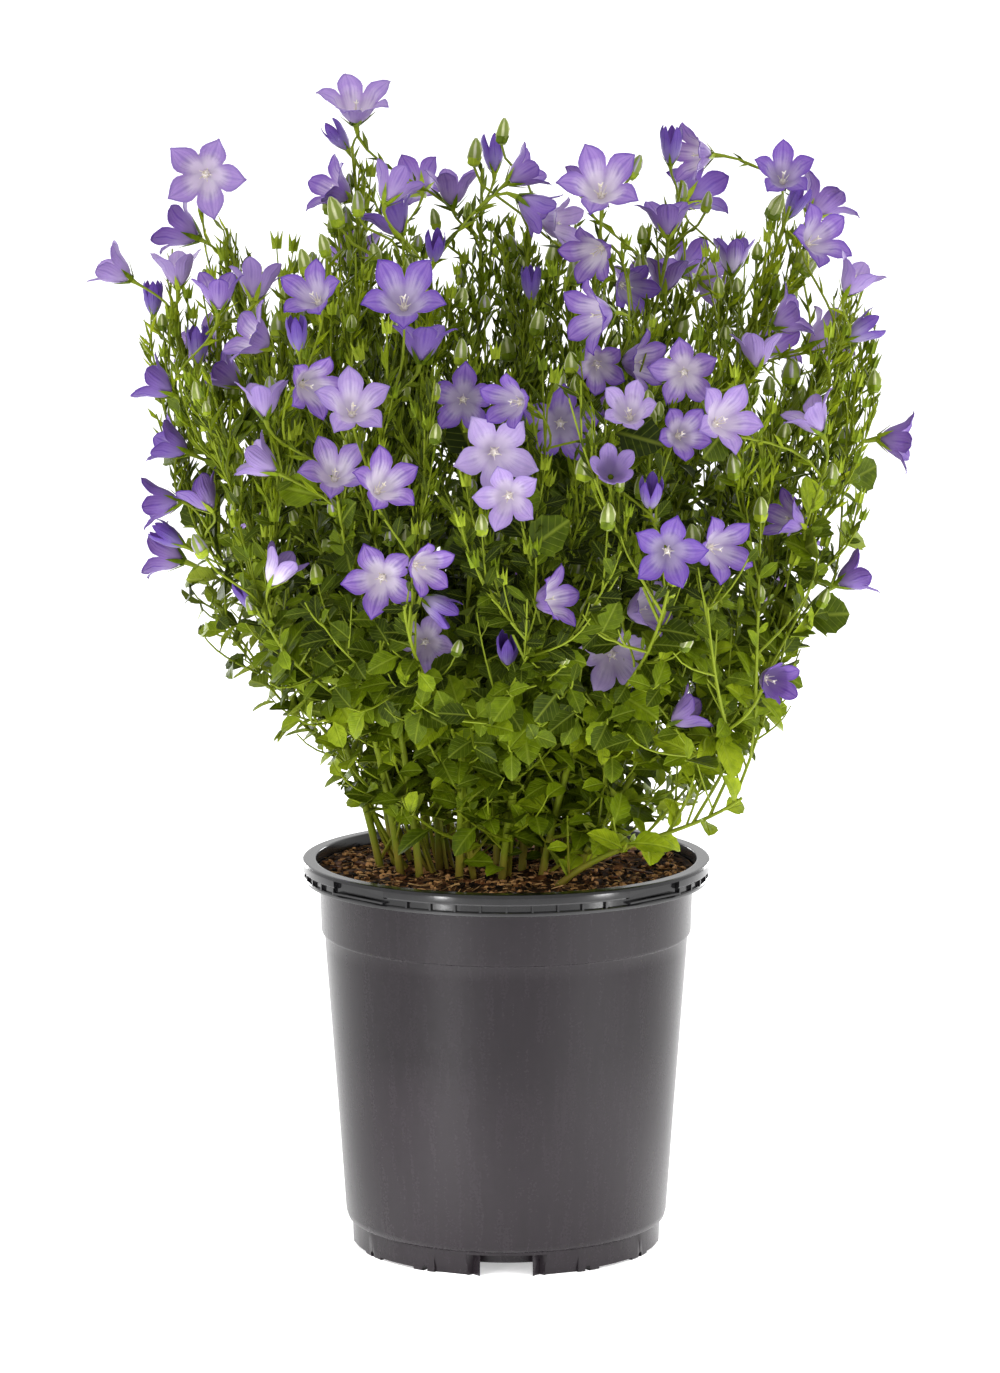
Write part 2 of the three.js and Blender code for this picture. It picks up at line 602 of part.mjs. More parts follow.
// Short leafy side shoots low on each limb
function growShoots(room, stem) {
  stem.limbs.forEach((limb, limbIndex) => {
    const count = Math.floor(limb.length / shoot.spacing);
    for (let i = 0; i < count; i++) {
      const draw = seededRandom(40000 + stem.index * 400 + limbIndex * 100 + i);
      const { place, direction } = along(limb.path, (i + 0.5) / count);
      if (place[2] < 192 || place[2] > shoot.highest) continue;
      const [right, up] = squareTo(direction);
      for (let attempt = 0; attempt < 5; attempt++) {
        const angle = GOLDEN_TURN * i + stem.index + attempt * 1.3 + spread(draw, -0.4, 0.4);
        const aside = add(times(right, Math.cos(angle)), times(up, Math.sin(angle)));
        const way = unit(add(times(direction, 0.5), aside));
        const length = spread(draw, shoot.shortest, shoot.longest);
        const end = add(place, add(times(way, length), [0, 0, length * 0.12]));
        const path = curvedRoute(place, way, end, unit(add(way, [0, 0, 0.5])), 2, 0.34);
        const balls = [0.12, 0.25, 0.4, 0.55, 0.7, 0.85, 1].map((share) => along(path, share).place);
        if (balls.some((ball) => ball[2] < 190) || !room.isFree(balls, clearRoom.shoot, stem.name)) continue;
        room.put(balls, clearRoom.shoot, stem.name);
        const grown = { path, radii: [0.6, shoot.radius, 0.6], sides: 3, length };
        stem.shoots.push(grown);
        for (let blade = 0; blade < shoot.leaves; blade++) {
          const share = 0.95 - blade * 0.4;
          growLeafAt(room, stem, along(path, share), blade * 2.6 + i, leafLengthAt(end[2]) * 0.86, draw);
        }
        break;
      }
    }
  });
}

const leafLengthAt = (height) => {
  const share = Math.min(Math.max((height - 190) / 200, 0), 1);
  return leaf.longest + (leaf.shortest - leaf.longest) * share;
};

function growLeaves(room, stem) {
  stem.limbs.forEach((limb, limbIndex) => {
    const count = Math.floor(limb.length / leaf.spacing);
    for (let i = 0; i < count; i++) {
      const spot = along(limb.path, (i + 0.6) / count);
      if (spot.place[2] < leaf.lowest || spot.place[2] > leaf.highest) continue;
      const draw = seededRandom(60000 + stem.index * 400 + limbIndex * 100 + i);
      growLeafAt(room, stem, spot, GOLDEN_TURN * i + stem.index, leafLengthAt(spot.place[2]), draw);
    }
  });
}

// One toothed leaf, turned about its stem until it finds room
function growLeafAt(room, stem, spot, startAngle, usualLength, draw) {
  const [right, up] = squareTo(spot.direction);
  const length = usualLength * spread(draw, 0.85, 1.15);
  for (let attempt = 0; attempt < 6; attempt++) {
    const angle = startAngle + attempt * 1.1;
    const aside = add(times(right, Math.cos(angle)), times(up, Math.sin(angle)));
    const way = unit(add(aside, times(spot.direction, spread(draw, 0.1, 0.7))));
    const sky = [spot.place[0] / 120, spot.place[1] / 120, spread(draw, 0.4, 1.1)];
    const face = unit(subtract(sky, times(way, dot(sky, way))));
    const across = cross(face, way);
    const blade = { base: spot.place, way, face, across, length, droop: spread(draw, 0.05, 0.3) };
    const balls = leafBalls(blade);
    const roots = [0.12, 0.2, 0.3].map((share) => leafPoint(blade, share, 0, 0));
    if (balls.some((ball) => ball[2] < 188) || !room.isFree(balls, clearRoom.leaf.ask)) continue;
    if (!room.isFree(roots, clearRoom.route, stem.name)) continue;
    room.put([...balls, ...roots], clearRoom.leaf.take, stem.name);
    stem.leaves.push(blade);
    return;
  }
}

// A place on a leaf: the share of its length, the share of its length sideways, and the lift off its face
function leafPoint(blade, share, aside, lift) {
  const fold = Math.abs(aside) * 0.35;
  const sag = blade.droop * share * share;
  const flat = add(blade.base, times(blade.way, share * blade.length));
  const side = add(flat, times(blade.across, aside * blade.length));
  return add(side, times(blade.face, (fold - sag) * blade.length + lift));
}

const leafBalls = (blade) => {
  const spots = [[0.4, -0.17], [0.4, 0.17], [0.66, -0.13], [0.66, 0.13], [0.92, 0]];
  return spots.map(([share, aside]) => leafPoint(blade, share, aside, 0));
};

// Narrow bracts on the upper stems
function growBracts(room, stem) {
  stem.limbs.forEach((limb, limbIndex) => {
    const count = Math.floor(limb.length / bract.spacing);
    for (let i = 0; i < count; i++) {
      const { place, direction } = along(limb.path, (i + 0.3) / count);
      if (place[2] < bract.lowest) continue;
      const draw = seededRandom(80000 + stem.index * 400 + limbIndex * 100 + i);
      const [right, up] = squareTo(direction);
      for (let attempt = 0; attempt < 4; attempt++) {
        const angle = GOLDEN_TURN * i + attempt * 1.5 + spread(draw, -0.3, 0.3);
        const aside = add(times(right, Math.cos(angle)), times(up, Math.sin(angle)));
        const way = unit(add(times(direction, 0.9), aside));
        const tip = add(place, times(way, bract.length * spread(draw, 0.8, 1.3)));
        const balls = [0.2, 0.45, 0.7, 1].map((share) => mix(place, tip, share));
        if (!room.isFree(balls, clearRoom.bract.ask, stem.name)) continue;
        room.put(balls, clearRoom.bract.take, stem.name);
        stem.bracts.push({ place, tip, across: cross(way, direction) });
        break;
      }
    }
  });
}

// A closed solid from points and triangles
function solidFrom(points, triangles) {
  const geometry = new THREE.BufferGeometry();
  geometry.setAttribute("position", new THREE.Float32BufferAttribute(points.flat(), 3));
  geometry.setIndex(triangles.flat());
  return solidOf(geometry);
}

function solidOf(geometry) {
  const bare = geometry.clone();
  bare.deleteAttribute("normal");
  bare.deleteAttribute("uv");
  const merged = mergeVertices(bare, 1e-4);
  const vertProperties = merged.attributes.position.array;
  const triVerts = new Uint32Array(merged.index.array);
  return new wasm.Manifold(new wasm.Mesh({ numProp: 3, vertProperties, triVerts }));
}

// Joins many solids, the neighbours in the list first
function joined(solids) {
  let row = solids;
  while (row.length > 1) {
    const next = [];
    for (let i = 0; i < row.length; i += 2) {
      next.push(i + 1 < row.length ? row[i].add(row[i + 1]) : row[i]);
    }
    row = next;
  }
  return row[0];
}

// The corners and triangles of a tube of any thickness along a path. A last radius of 0 ends it in a point, and
// a tube that is left open ends square to the direction given for it.
function tube(path, radii, sides, openWay) {
  const points = [];
  const triangles = [];
  const pointed = radii[radii.length - 1] === 0;
  const frames = ringFrames(path, openWay);
  path.forEach((centre, i) => {
    if (radii[i] === 0) {
      points.push(centre);
      return;
    }
    const [right, up] = frames[i];
    for (let side = 0; side < sides; side++) {
      const angle = (side * TURN) / sides;
      const spoke = add(times(right, Math.cos(angle)), times(up, Math.sin(angle)));
      points.push(add(centre, times(spoke, radii[i])));
    }
  });
  const rings = pointed ? path.length - 1 : path.length;
  for (let i = 0; i + 1 < rings; i++) {
    for (let side = 0; side < sides; side++) {
      const a = i * sides + side;
      const b = i * sides + ((side + 1) % sides);
      triangles.push([a, b, b + sides], [a, b + sides, a + sides]);
    }
  }
  const last = (rings - 1) * sides;
  for (let side = 0; pointed && side < sides; side++) {
    triangles.push([last + side, last + ((side + 1) % sides), points.length - 1]);
  }
  for (let side = 1; side + 1 < sides; side++) {
    triangles.push([0, side + 1, side]);
    if (!openWay && !pointed) triangles.push([last, last + side, last + side + 1]);
  }
  return { points, triangles };
}

function limbSolid(limb) {
  const { points, triangles } = tube(limb.path, limb.radii, limb.sides);
  return solidFrom(points, triangles);
}

// Joins two rings of corners, each in rising order of angle, by a band of triangles that faces outwards
function stitched(low, high) {
  const angleOf = (ring, i) => ring[i % ring.length].angle + TURN * Math.floor(i / ring.length);
  const triangles = [];
  let i = 0;
  let j = 0;
  while (i < low.length || j < high.length) {
    const lowTurn = i < low.length && (j === high.length || angleOf(low, i + 1) < angleOf(high, j + 1));
    const from = low[i % low.length].corner;
    const top = high[j % high.length].corner;
    if (lowTurn) i += 1;
    else j += 1;
    const next = lowTurn ? low[i % low.length].corner : high[j % high.length].corner;
    triangles.push([from, next, top]);
  }
  return triangles;
}

// A bell and its stalk in one skin: a star of five lobes, thin at its edge and keeled down each lobe's back
function bloomSolid(bloom, stalk) {
  const { sinus, shoulder, tip, keel, throatHeight } = bloom.shape;
  const simple = bloom.simple;
  const { points, triangles } = tube(stalk.path, stalk.radii, stalk.sides, bloom.facing);
  const angleOf = (corner) => {
    const spoke = subtract(points[corner], bloom.base);
    const angle = Math.atan2(dot(spoke, bloom.up), dot(spoke, bloom.right));
    return angle < 0 ? angle + TURN : angle;
  };
  const byAngle = (a, b) => a.angle - b.angle;
  const end = Array.from({ length: stalk.sides }, (_, i) => points.length - stalk.sides + i);
  const waist = end.map((corner) => ({ corner, angle: angleOf(corner) })).sort(byAngle);
  const centre = points.length;
  points.push(bellPoint(bloom, 0, 0, throatHeight));
  const ring = [];
  const lobes = [];
  for (let lobe = 0; lobe < 5; lobe++) {
    const angle = bloom.roll + (lobe * TURN) / 5;
    const left = points.length;
    points.push(bellPoint(bloom, sinus.radius, angle - TURN / 10, sinus.height));
    points.push(bellPoint(bloom, keel.radius, angle, keel.height - (simple ? 1.4 : 0.4)));
    points.push(bellPoint(bloom, tip.radius, angle, tip.height));
    if (!simple) {
      points.push(bellPoint(bloom, shoulder.radius, angle - shoulder.angle, shoulder.height));
      points.push(bellPoint(bloom, shoulder.radius, angle + shoulder.angle, shoulder.height));
    }
    ring.push({ corner: left, angle: angleOf(left) }, { corner: left + 1, angle: angleOf(left + 1) });
    lobes.push(left);
  }
  lobes.forEach((left, lobe) => {
    const right = lobes[(lobe + 1) % 5];
    const [back, point, low, high] = [left + 1, left + 2, left + 3, left + 4];
    if (simple) {
      triangles.push([centre, left, point], [centre, point, right], [left, back, point], [point, back, right]);
    } else {
      triangles.push([centre, left, right], [left, low, high], [left, high, right], [low, point, high]);
      triangles.push([left, back, low], [low, back, point], [point, back, high], [high, back, right]);
    }
  });
  triangles.push(...stitched(waist, ring.sort(byAngle)));
  return solidFrom(points, triangles);
}

// A swollen bud and its stalk in one skin
function budSolid(bud) {
  const at = (share) => add(bud.base, times(bud.facing, bud.length * share));
  const path = [...bud.route, at(0.34), at(0.66), at(1)];
  const radii = [0.4, 0.8, bud.radius * 0.9, bud.radius, 0];
  const { points, triangles } = tube(path, radii, 4);
  return solidFrom(points, triangles);
}

// The half outlines of a toothed leaf, large and small: shares of its length along and aside
const leafEdge = [[0.26, 0.24], [0.5, 0.33], [0.57, 0.26], [0.8, 0.2]];
const smallLeafEdge = [[0.28, 0.27], [0.6, 0.3], [0.68, 0.2]];

function leafSolid(blade) {
  const half = leafThickness / 2;
  const edge = blade.length > 19 ? leafEdge : smallLeafEdge;
  const back = [...edge].reverse().map(([share, aside]) => [share, -aside]);
  const ring = [[0, 0], ...edge, [1, 0], ...back];
  const points = ring.map(([share, aside]) => leafPoint(blade, share, aside, 0));
  points.push(leafPoint(blade, 0.5, 0, half), leafPoint(blade, 0.5, 0, -half));
  const triangles = [];
  ring.forEach((_, i) => {
    const next = (i + 1) % ring.length;
    triangles.push([ring.length + 1, i, next]);
    if (i > 0 && next > 0) triangles.push([ring.length, next, i]);
  });
  triangles.push([ring.length, 1, ring.length - 1], [0, ring.length - 1, 1]);
  return solidFrom(points, triangles);
}

// A narrow bract: a three-sided spindle with its foot inside the stem
function bractSolid({ place, tip, across }) {
  const middle = mix(place, tip, 0.45);
  const side = times(unit(across), bract.width / 2);
  const lift = times(unit(cross(subtract(tip, place), across)), bract.thickness);
  const points = [place, add(middle, side), subtract(middle, side), add(middle, lift), tip];
  return solidFrom(points, [[0, 2, 1], [0, 1, 3], [0, 3, 2], [4, 1, 2], [4, 3, 1], [4, 2, 3]]);
}

// The solids of the pot
function turned(profile, sides) {
  const outline = profile.map(([radius, height]) => new THREE.Vector2(radius, height));
  return solidOf(new THREE.LatheGeometry(outline, sides).rotateX(Math.PI / 2));
}

function boxAt(width, depth, height, radius, angle, bottom) {
  const box = new THREE.BoxGeometry(width, depth, height);
  box.translate(0, 0, bottom + height / 2);
  box.translate(0, -radius, 0);
  return solidOf(box.rotateZ((angle + 90) * DEGREE));
}

function potSolid() {
  const inner = (radius) => radius - pot.wallThickness;
  const floorTop = pot.floorHeight + pot.wallThickness;
  const body = turned([
    [0, pot.floorHeight],
    [pot.footRadius - pot.footThickness, pot.floorHeight],
    [pot.footRadius - pot.footThickness, 0],
    [pot.footRadius, 0],
    [pot.footRadius + 0.5, pot.footHeight],
    [pot.wallFootRadius, pot.wallFootHeight],
    [pot.wallTopRadius, pot.wallTopHeight],
    [pot.collarFootRadius, pot.collarFootHeight],
    [pot.collarTopRadius, pot.collarTopHeight],
    [pot.rimRadius - 2, pot.collarTopHeight + 3.6],
    [pot.rimRadius, pot.collarTopHeight + 7.5],
    [pot.rimRadius - 0.5, pot.height - 2],
    [pot.rimRadius - 2, pot.height],
    [pot.mouthRadius + 1.4, pot.height],
    [pot.mouthRadius, pot.height - 2],
    [inner(pot.collarTopRadius), pot.collarTopHeight - 2],
    [inner(pot.collarFootRadius), pot.collarFootHeight + 1],
    [inner(pot.wallTopRadius), pot.wallTopHeight],
    [inner(pot.wallFootRadius), pot.wallFootHeight],
    [pot.footRadius - 0.6, floorTop],
    [0, floorTop],
  ], pot.sides);
  let shape = body;
  for (const angle of rimSlots.angles) {
    const { width, depth, height, bottom } = rimSlots;
    shape = shape.subtract(boxAt(width, depth * 2, height, pot.rimRadius, angle, bottom));
  }
  for (const angle of footOpenings.angles) {
    const { width, notchWidth, notchHeight, notchStep } = footOpenings;
    shape = shape.subtract(boxAt(width, 12, pot.floorHeight + 1, pot.footRadius, angle, -1));
    for (const side of [-notchStep, notchStep]) {
      shape = shape.subtract(boxAt(notchWidth, 12, notchHeight + 1, pot.footRadius, angle + side, -1));
    }
  }
  for (let i = 0; i < drainHoles.count; i++) {
    const hole = new THREE.CylinderGeometry(drainHoles.radius, drainHoles.radius, 8, drainHoles.sides);
    hole.rotateX(Math.PI / 2).translate(drainHoles.ringRadius, 0, pot.floorHeight + 0.7);
    shape = shape.subtract(solidOf(hole.rotateZ(((i + 0.5) * TURN) / drainHoles.count)));
  }
  return shape;
}

// The soil: a filled cone frustum with an uneven top and a plain hole for each stem
function soilSolid(stems) {
  const flatShare = Math.cos(Math.PI / pot.sides);
  const inner = (radius) => (radius - pot.wallThickness) * flatShare - CLEARANCE;
  const floor = pot.floorHeight + pot.wallThickness + CLEARANCE;
  const levels = [
    { radius: pot.footRadius - 1.4, height: floor },
    { radius: inner(pot.wallFootRadius), height: pot.wallFootHeight },
    { radius: inner(pot.wallTopRadius), height: pot.wallTopHeight },
    { radius: inner(pot.collarFootRadius), height: pot.collarFootHeight + 1.2 },
    { radius: inner(pot.collarTopRadius), height: pot.collarTopHeight - 1 },
  ];
  const topRadius = levels[levels.length - 1].radius + 0.8;
  const draw = seededRandom(7);
  const points = [[0, 0, floor]];
  const triangles = [];
  const rings = levels.map((level) => ({ ...level, rough: 0 }));
  for (let ring = soil.rings; ring > 0; ring--) {
    const share = ring / soil.rings;
    const height = soil.height - 2 + soil.dome * (1 - share * share);
    rings.push({ radius: topRadius * share, height, rough: soil.roughness });
  }
  rings.forEach(({ radius, height, rough }) => {
    for (let spoke = 0; spoke < soil.spokes; spoke++) {
      const angle = ((spoke + (rough > 0 ? 0.5 * draw() : 0)) * TURN) / soil.spokes;
      points.push([Math.cos(angle) * radius, Math.sin(angle) * radius, height + rough * (draw() - 0.5) * 2]);
    }
  });
  points.push([0, 0, soil.height]);
  const top = points.length - 1;
  for (let spoke = 0; spoke < soil.spokes; spoke++) {
    const next = (spoke + 1) % soil.spokes;
    triangles.push([0, next + 1, spoke + 1]);
    for (let ring = 0; ring + 1 < rings.length; ring++) {
      const a = 1 + ring * soil.spokes + spoke;
      const b = 1 + ring * soil.spokes + next;
      triangles.push([a, b, b + soil.spokes], [a, b + soil.spokes, a + soil.spokes]);
    }
    const lastRing = 1 + (rings.length - 1) * soil.spokes;
    triangles.push([lastRing + spoke, lastRing + next, top]);
  }
  let shape = solidFrom(points, triangles);
  for (const stem of stems) {
    const { path, radii, sides } = stem.limbs[0];
    const deeper = subtract(path[0], times(unit(subtract(path[1], path[0])), CLEARANCE));
    const above = path.findIndex((point) => point[2] > soil.height + 8);
    const wider = radii.slice(0, above + 1).map((radius) => radius + CLEARANCE * 1.5);
    shape = shape.subtract(limbSolid({ path: [deeper, ...path.slice(1, above + 1)], radii: wider, sides }));
  }
  return shape;
}

function stemSolid(stem) {
  return joined([
    ...stem.limbs.map(limbSolid),
    ...stem.shoots.map(limbSolid),
    ...stem.buds.map(budSolid),
    ...stem.leaves.map(leafSolid),
    ...stem.bracts.map(bractSolid),
  ]);
}

const spraySolid = (spray) => joined(spray.blooms.map((bloom, i) => bloomSolid(bloom, spray.stalks[i])));

// Finishes of the four materials
const finishes = {
  pot: new THREE.MeshStandardMaterial({ color: 0x2e2d2f, roughness: 0.42, metalness: 0 }),
  soil: new THREE.MeshStandardMaterial({ color: 0x4a3424, roughness: 0.95, metalness: 0 }),
  foliage: new THREE.MeshStandardMaterial({ color: 0x55781f, roughness: 0.6, metalness: 0 }),
  bloom: new THREE.MeshStandardMaterial({ color: 0x8468c4, roughness: 0.55, metalness: 0 }),
};

// The largest body of a solid, so that no loose scrap stays
function wholeBody(solid) {
  const bodies = solid.decompose();
  return bodies.reduce((best, body) => (body.volume() > best.volume() ? body : best));
}

// Joining leaves slivers, and those finer than this are smoothed away (mm)
const SLIVER = 0.03;

function meshOf(name, solid, material) {
  const { vertProperties, triVerts } = wholeBody(solid).simplify(SLIVER).getMesh();
  const geometry = new THREE.BufferGeometry();
  geometry.setAttribute("position", new THREE.Float32BufferAttribute(vertProperties, 3));
  geometry.setIndex(new THREE.Uint32BufferAttribute(triVerts, 1));
  geometry.computeVertexNormals();
  const mesh = new THREE.Mesh(geometry, material);
  mesh.name = name;
  return mesh;
}

const group = new THREE.Group();
const plant = growPlant();
group.add(meshOf("pot", potSolid(), finishes.pot));
group.add(meshOf("soil", soilSolid(plant.stems), finishes.soil));
plant.stems.forEach((stem) => group.add(meshOf(stem.name, stemSolid(stem), finishes.foliage)));
plant.sprays.forEach((spray) => group.add(meshOf(spray.name, spraySolid(spray), finishes.bloom)));

export default group;
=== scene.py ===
"""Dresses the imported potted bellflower.

The solids give the plant's growth: each fine stem, leaf, bud and bell stands where its solid
stands. The same rule and the same seeds grow it again here, and more leaves, bracts and buds then
fill the bush in. Growth is worked out in millimetres, and every mesh is made in metres.
"""

import logging  # noqa: E402
import math  # noqa: E402
from dataclasses import dataclass, field  # noqa: E402
from enum import Enum  # noqa: E402
from typing import Callable, Iterable, Optional, Sequence  # noqa: E402

import bpy  # noqa: E402
import numpy as np  # noqa: E402
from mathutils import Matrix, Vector, noise  # noqa: E402


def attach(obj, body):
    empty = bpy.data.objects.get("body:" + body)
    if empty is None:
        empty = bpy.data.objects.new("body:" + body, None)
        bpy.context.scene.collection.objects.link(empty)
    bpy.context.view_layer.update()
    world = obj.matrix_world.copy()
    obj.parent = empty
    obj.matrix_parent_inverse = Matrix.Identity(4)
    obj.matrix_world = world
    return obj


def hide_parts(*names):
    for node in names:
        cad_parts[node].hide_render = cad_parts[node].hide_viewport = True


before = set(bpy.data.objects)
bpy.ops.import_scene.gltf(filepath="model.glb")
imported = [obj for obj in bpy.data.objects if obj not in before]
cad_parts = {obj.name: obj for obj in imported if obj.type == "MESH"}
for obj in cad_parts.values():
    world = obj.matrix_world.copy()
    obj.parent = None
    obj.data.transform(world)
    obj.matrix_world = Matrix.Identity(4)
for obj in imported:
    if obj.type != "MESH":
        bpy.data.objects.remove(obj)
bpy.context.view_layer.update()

LOG = logging.getLogger("bellflower")
Triple = tuple[float, float, float]
TURN = math.pi * 2
DEGREE = math.pi / 180
MILLIMETRE = 0.001
CLEARANCE = 0.3
# How far a stalk runs on in its first direction, as a share of its way
STALK_BEND = 0.34
# The first seed of each kind of growth
BELL_SEED, BACK_BELL_SEED, BUD_SEED = 1000, 2000, 3000
SHOOT_SEED, LEAF_SEED, BRACT_SEED = 40000, 60000, 80000
THICKET_SEED, STALK_BRACT_SEED = 100000, 150000
STEM_TONE_SEED, SPRAY_TONE_SEED, SOIL_SEED = 200000, 400000, 31
STEM_SEEDS, LIMB_SEEDS = 400, 100
GOLDEN_TURN = 137.5 * DEGREE
BODY = "root"


# Vectors as plain triples


def add(a: Triple, b: Triple) -> Triple:
    """Returns the sum of two vectors."""
    return (a[0] + b[0], a[1] + b[1], a[2] + b[2])


def subtract(a: Triple, b: Triple) -> Triple:
    """Returns the first vector less the second."""
    return (a[0] - b[0], a[1] - b[1], a[2] - b[2])


def times(a: Triple, k: float) -> Triple:
    """Returns a vector times a number."""
    return (a[0] * k, a[1] * k, a[2] * k)


def dot(a: Triple, b: Triple) -> float:
    """Returns the dot product."""
    return a[0] * b[0] + a[1] * b[1] + a[2] * b[2]


def cross(a: Triple, b: Triple) -> Triple:
    """Returns the cross product."""
    return (a[1] * b[2] - a[2] * b[1], a[2] * b[0] - a[0] * b[2], a[0] * b[1] - a[1] * b[0])


def size(a: Triple) -> float:
    """Returns a vector's length."""
    return math.sqrt(dot(a, a))


def unit(a: Triple) -> Triple:
    """Returns a vector's direction."""
    return times(a, 1 / max(size(a), 1e-9))


def mix(a: Triple, b: Triple, share: float) -> Triple:
    """Returns the place at a share of the way from one point to another."""
    return add(times(a, 1 - share), times(b, share))


def gap_between(a: Triple, b: Triple) -> float:
    """Returns the distance between two points."""
    return size(subtract(a, b))


def bezier(a: Triple, b: Triple, c: Triple, d: Triple, t: float) -> Triple:
    """Returns the point of a cubic curve at t."""
    s = 1 - t
    start = add(times(a, s * s * s), times(b, 3 * s * s * t))
    return add(start, add(times(c, 3 * s * t * t), times(d, t * t * t)))


def curved_route(
    start: Triple, start_way: Triple, end: Triple, end_way: Triple, steps: int, ease: float
) -> list[Triple]:
    """Lays a route along a curve with given end directions.

    Args:
        start: The first point.
        start_way: The direction at the first point.
        end: The last point.
        end_way: The direction at the last point.
        steps: How many straight steps the route has.
        ease: How far the end directions carry, as a share of the distance.

    Returns:
        The points of the route.
    """
    reach = gap_between(start, end) * ease
    second = add(start, times(start_way, reach))
    third = subtract(end, times(end_way, reach))
    return [bezier(start, second, third, end, i / steps) for i in range(steps + 1)]


def square_to(axis: Triple) -> tuple[Triple, Triple]:
    """Returns two directions square to an axis and to each other."""
    helper = (0.0, 0.0, 1.0) if abs(axis[2]) < 0.9 else (0.0, 1.0, 0.0)
    right = unit(cross(helper, axis))
    return right, cross(axis, right)


def beside(axis: Triple, angle: float) -> Triple:
    """Returns the direction square to an axis, at an angle about it."""
    right, up = square_to(axis)
    return add(times(right, math.cos(angle)), times(up, math.sin(angle)))


def length_of(path: Sequence[Triple]) -> float:
    """Returns the length of a path."""
    return sum(gap_between(a, b) for a, b in zip(path, path[1:]))


def rounded(value: float) -> int:
    """Returns the nearest whole number, halves upwards."""
    return math.floor(value + 0.5)


def numbered(word: str, index: int) -> str:
    """Returns the name of a node in a numbered row."""
    return f"{word}_{index + 1:02d}"


class Draw:
    """A repeatable stream of numbers from 0 to 1, the same as the one that grew the solids."""

    MASK = 0xFFFFFFFF

    def __init__(self, seed: int) -> None:
        """Starts the stream at a seed."""
        self.state = seed & self.MASK

    def number(self) -> float:
        """Returns the next number."""
        self.state = (self.state + 0x6D2B79F5) & self.MASK
        t = self.state
        t = ((t ^ (t >> 15)) * (t | 1)) & self.MASK
        t ^= (t + (((t ^ (t >> 7)) * (t | 61)) & self.MASK)) & self.MASK
        return ((t ^ (t >> 14)) & self.MASK) / 4294967296

    def between(self, low: float, high: float) -> float:
        """Returns the next number, spread between two limits."""
        return low + (high - low) * self.number()


# The growth rule, as in the part's source


@dataclass(frozen=True)
class Eye:
    """The photograph's view, in millimetres, radians and pixels."""

    distance: float = 2517
    height: float = 656
    side: float = -2.9
    pitch: float = 8.9 * DEGREE
    focal: float = 5512
    column: float = 500
    row: float = 686.5

    def place_seen(self, column: float, row: float, depth: float) -> Triple:
        """Returns the place of a pixel of the photograph, at a depth chosen for it."""
        slope = math.atan((self.row - row) / self.focal)
        height = self.height - (self.distance + depth) * math.tan(self.pitch - slope)
        away = (self.distance + depth) * math.cos(self.pitch)
        reach = away + (self.height - height) * math.sin(self.pitch)
        return (((column - self.column) / self.focal) * reach + self.side, depth, height)


EYE = Eye()

# Half the bush's width at each height
BUSH_REACH = ((176, 45), (215, 105), (260, 150), (320, 180), (400, 188), (470, 178), (550, 120))


def reach_at(height: float) -> float:
    """Returns half the bush's width at a height."""
    if height >= BUSH_REACH[-1][0]:
        return BUSH_REACH[-1][1]
    upper = next(i for i, level in enumerate(BUSH_REACH) if level[0] > height)
    if upper <= 0:
        return BUSH_REACH[0][1]
    low, high = BUSH_REACH[upper - 1], BUSH_REACH[upper]
    share = (height - low[0]) / (high[0] - low[0])
    return low[1] + (high[1] - low[1]) * share


# Leafy stems: the root's place in the soil, the tip's column and row in the photograph, the tip's
# depth, and
# each branch as the share of the stem's length where it leaves, its tip and its depth
STEM_PLAN = (
    ((-54, -8), (172, 318), -12, ((0.5, (196, 528), -45),)),
    ((-49, 7), (226, 228), 26, ()),
    ((-46, -20), (258, 316), -72, ((0.3, (262, 606), -112),)),
    ((-38, -28), (322, 312), -48, ((0.45, (338, 500), -138),)),
    ((-36, 10), (352, 146), 12, ()),
    ((-30, -12), (398, 250), -42, ()),
    ((-18, 15), (482, 168), 37, ()),
    ((-22, -32), (476, 390), -112, ((0.3, (404, 606), -150),)),
    ((-5, -4), (532, 196), -6, ()),
    ((6, -12), (603, 206), -34, ()),
    ((-4, -31), (588, 388), -116, ((0.3, (528, 618), -152),)),
    ((12, 11), (682, 180), 22, ((0.5, (726, 270), 66),)),
    ((13, -23), (700, 388), -92, ((0.28, (668, 590), -146),)),
    ((22, 2), (790, 206), -2, ()),
    ((32, -12), (846, 306), -26, ((0.5, (842, 462), 26),)),
    ((24, -22), (808, 540), -74, ((0.4, (762, 690), -108),)),
    ((9, -45), (742, 798), -78, ()),
    ((-46, 24), (236, 392), 112, ()),
    ((-25, 37), (366, 300), 150, ((0.32, (322, 548), 128),)),
    ((-12, 38), (520, 262), 150, ((0.34, (548, 500), 158),)),
    ((7, 35), (650, 300), 138, ((0.32, (714, 528), 126),)),
    ((21, 26), (792, 380), 104, ()),
)

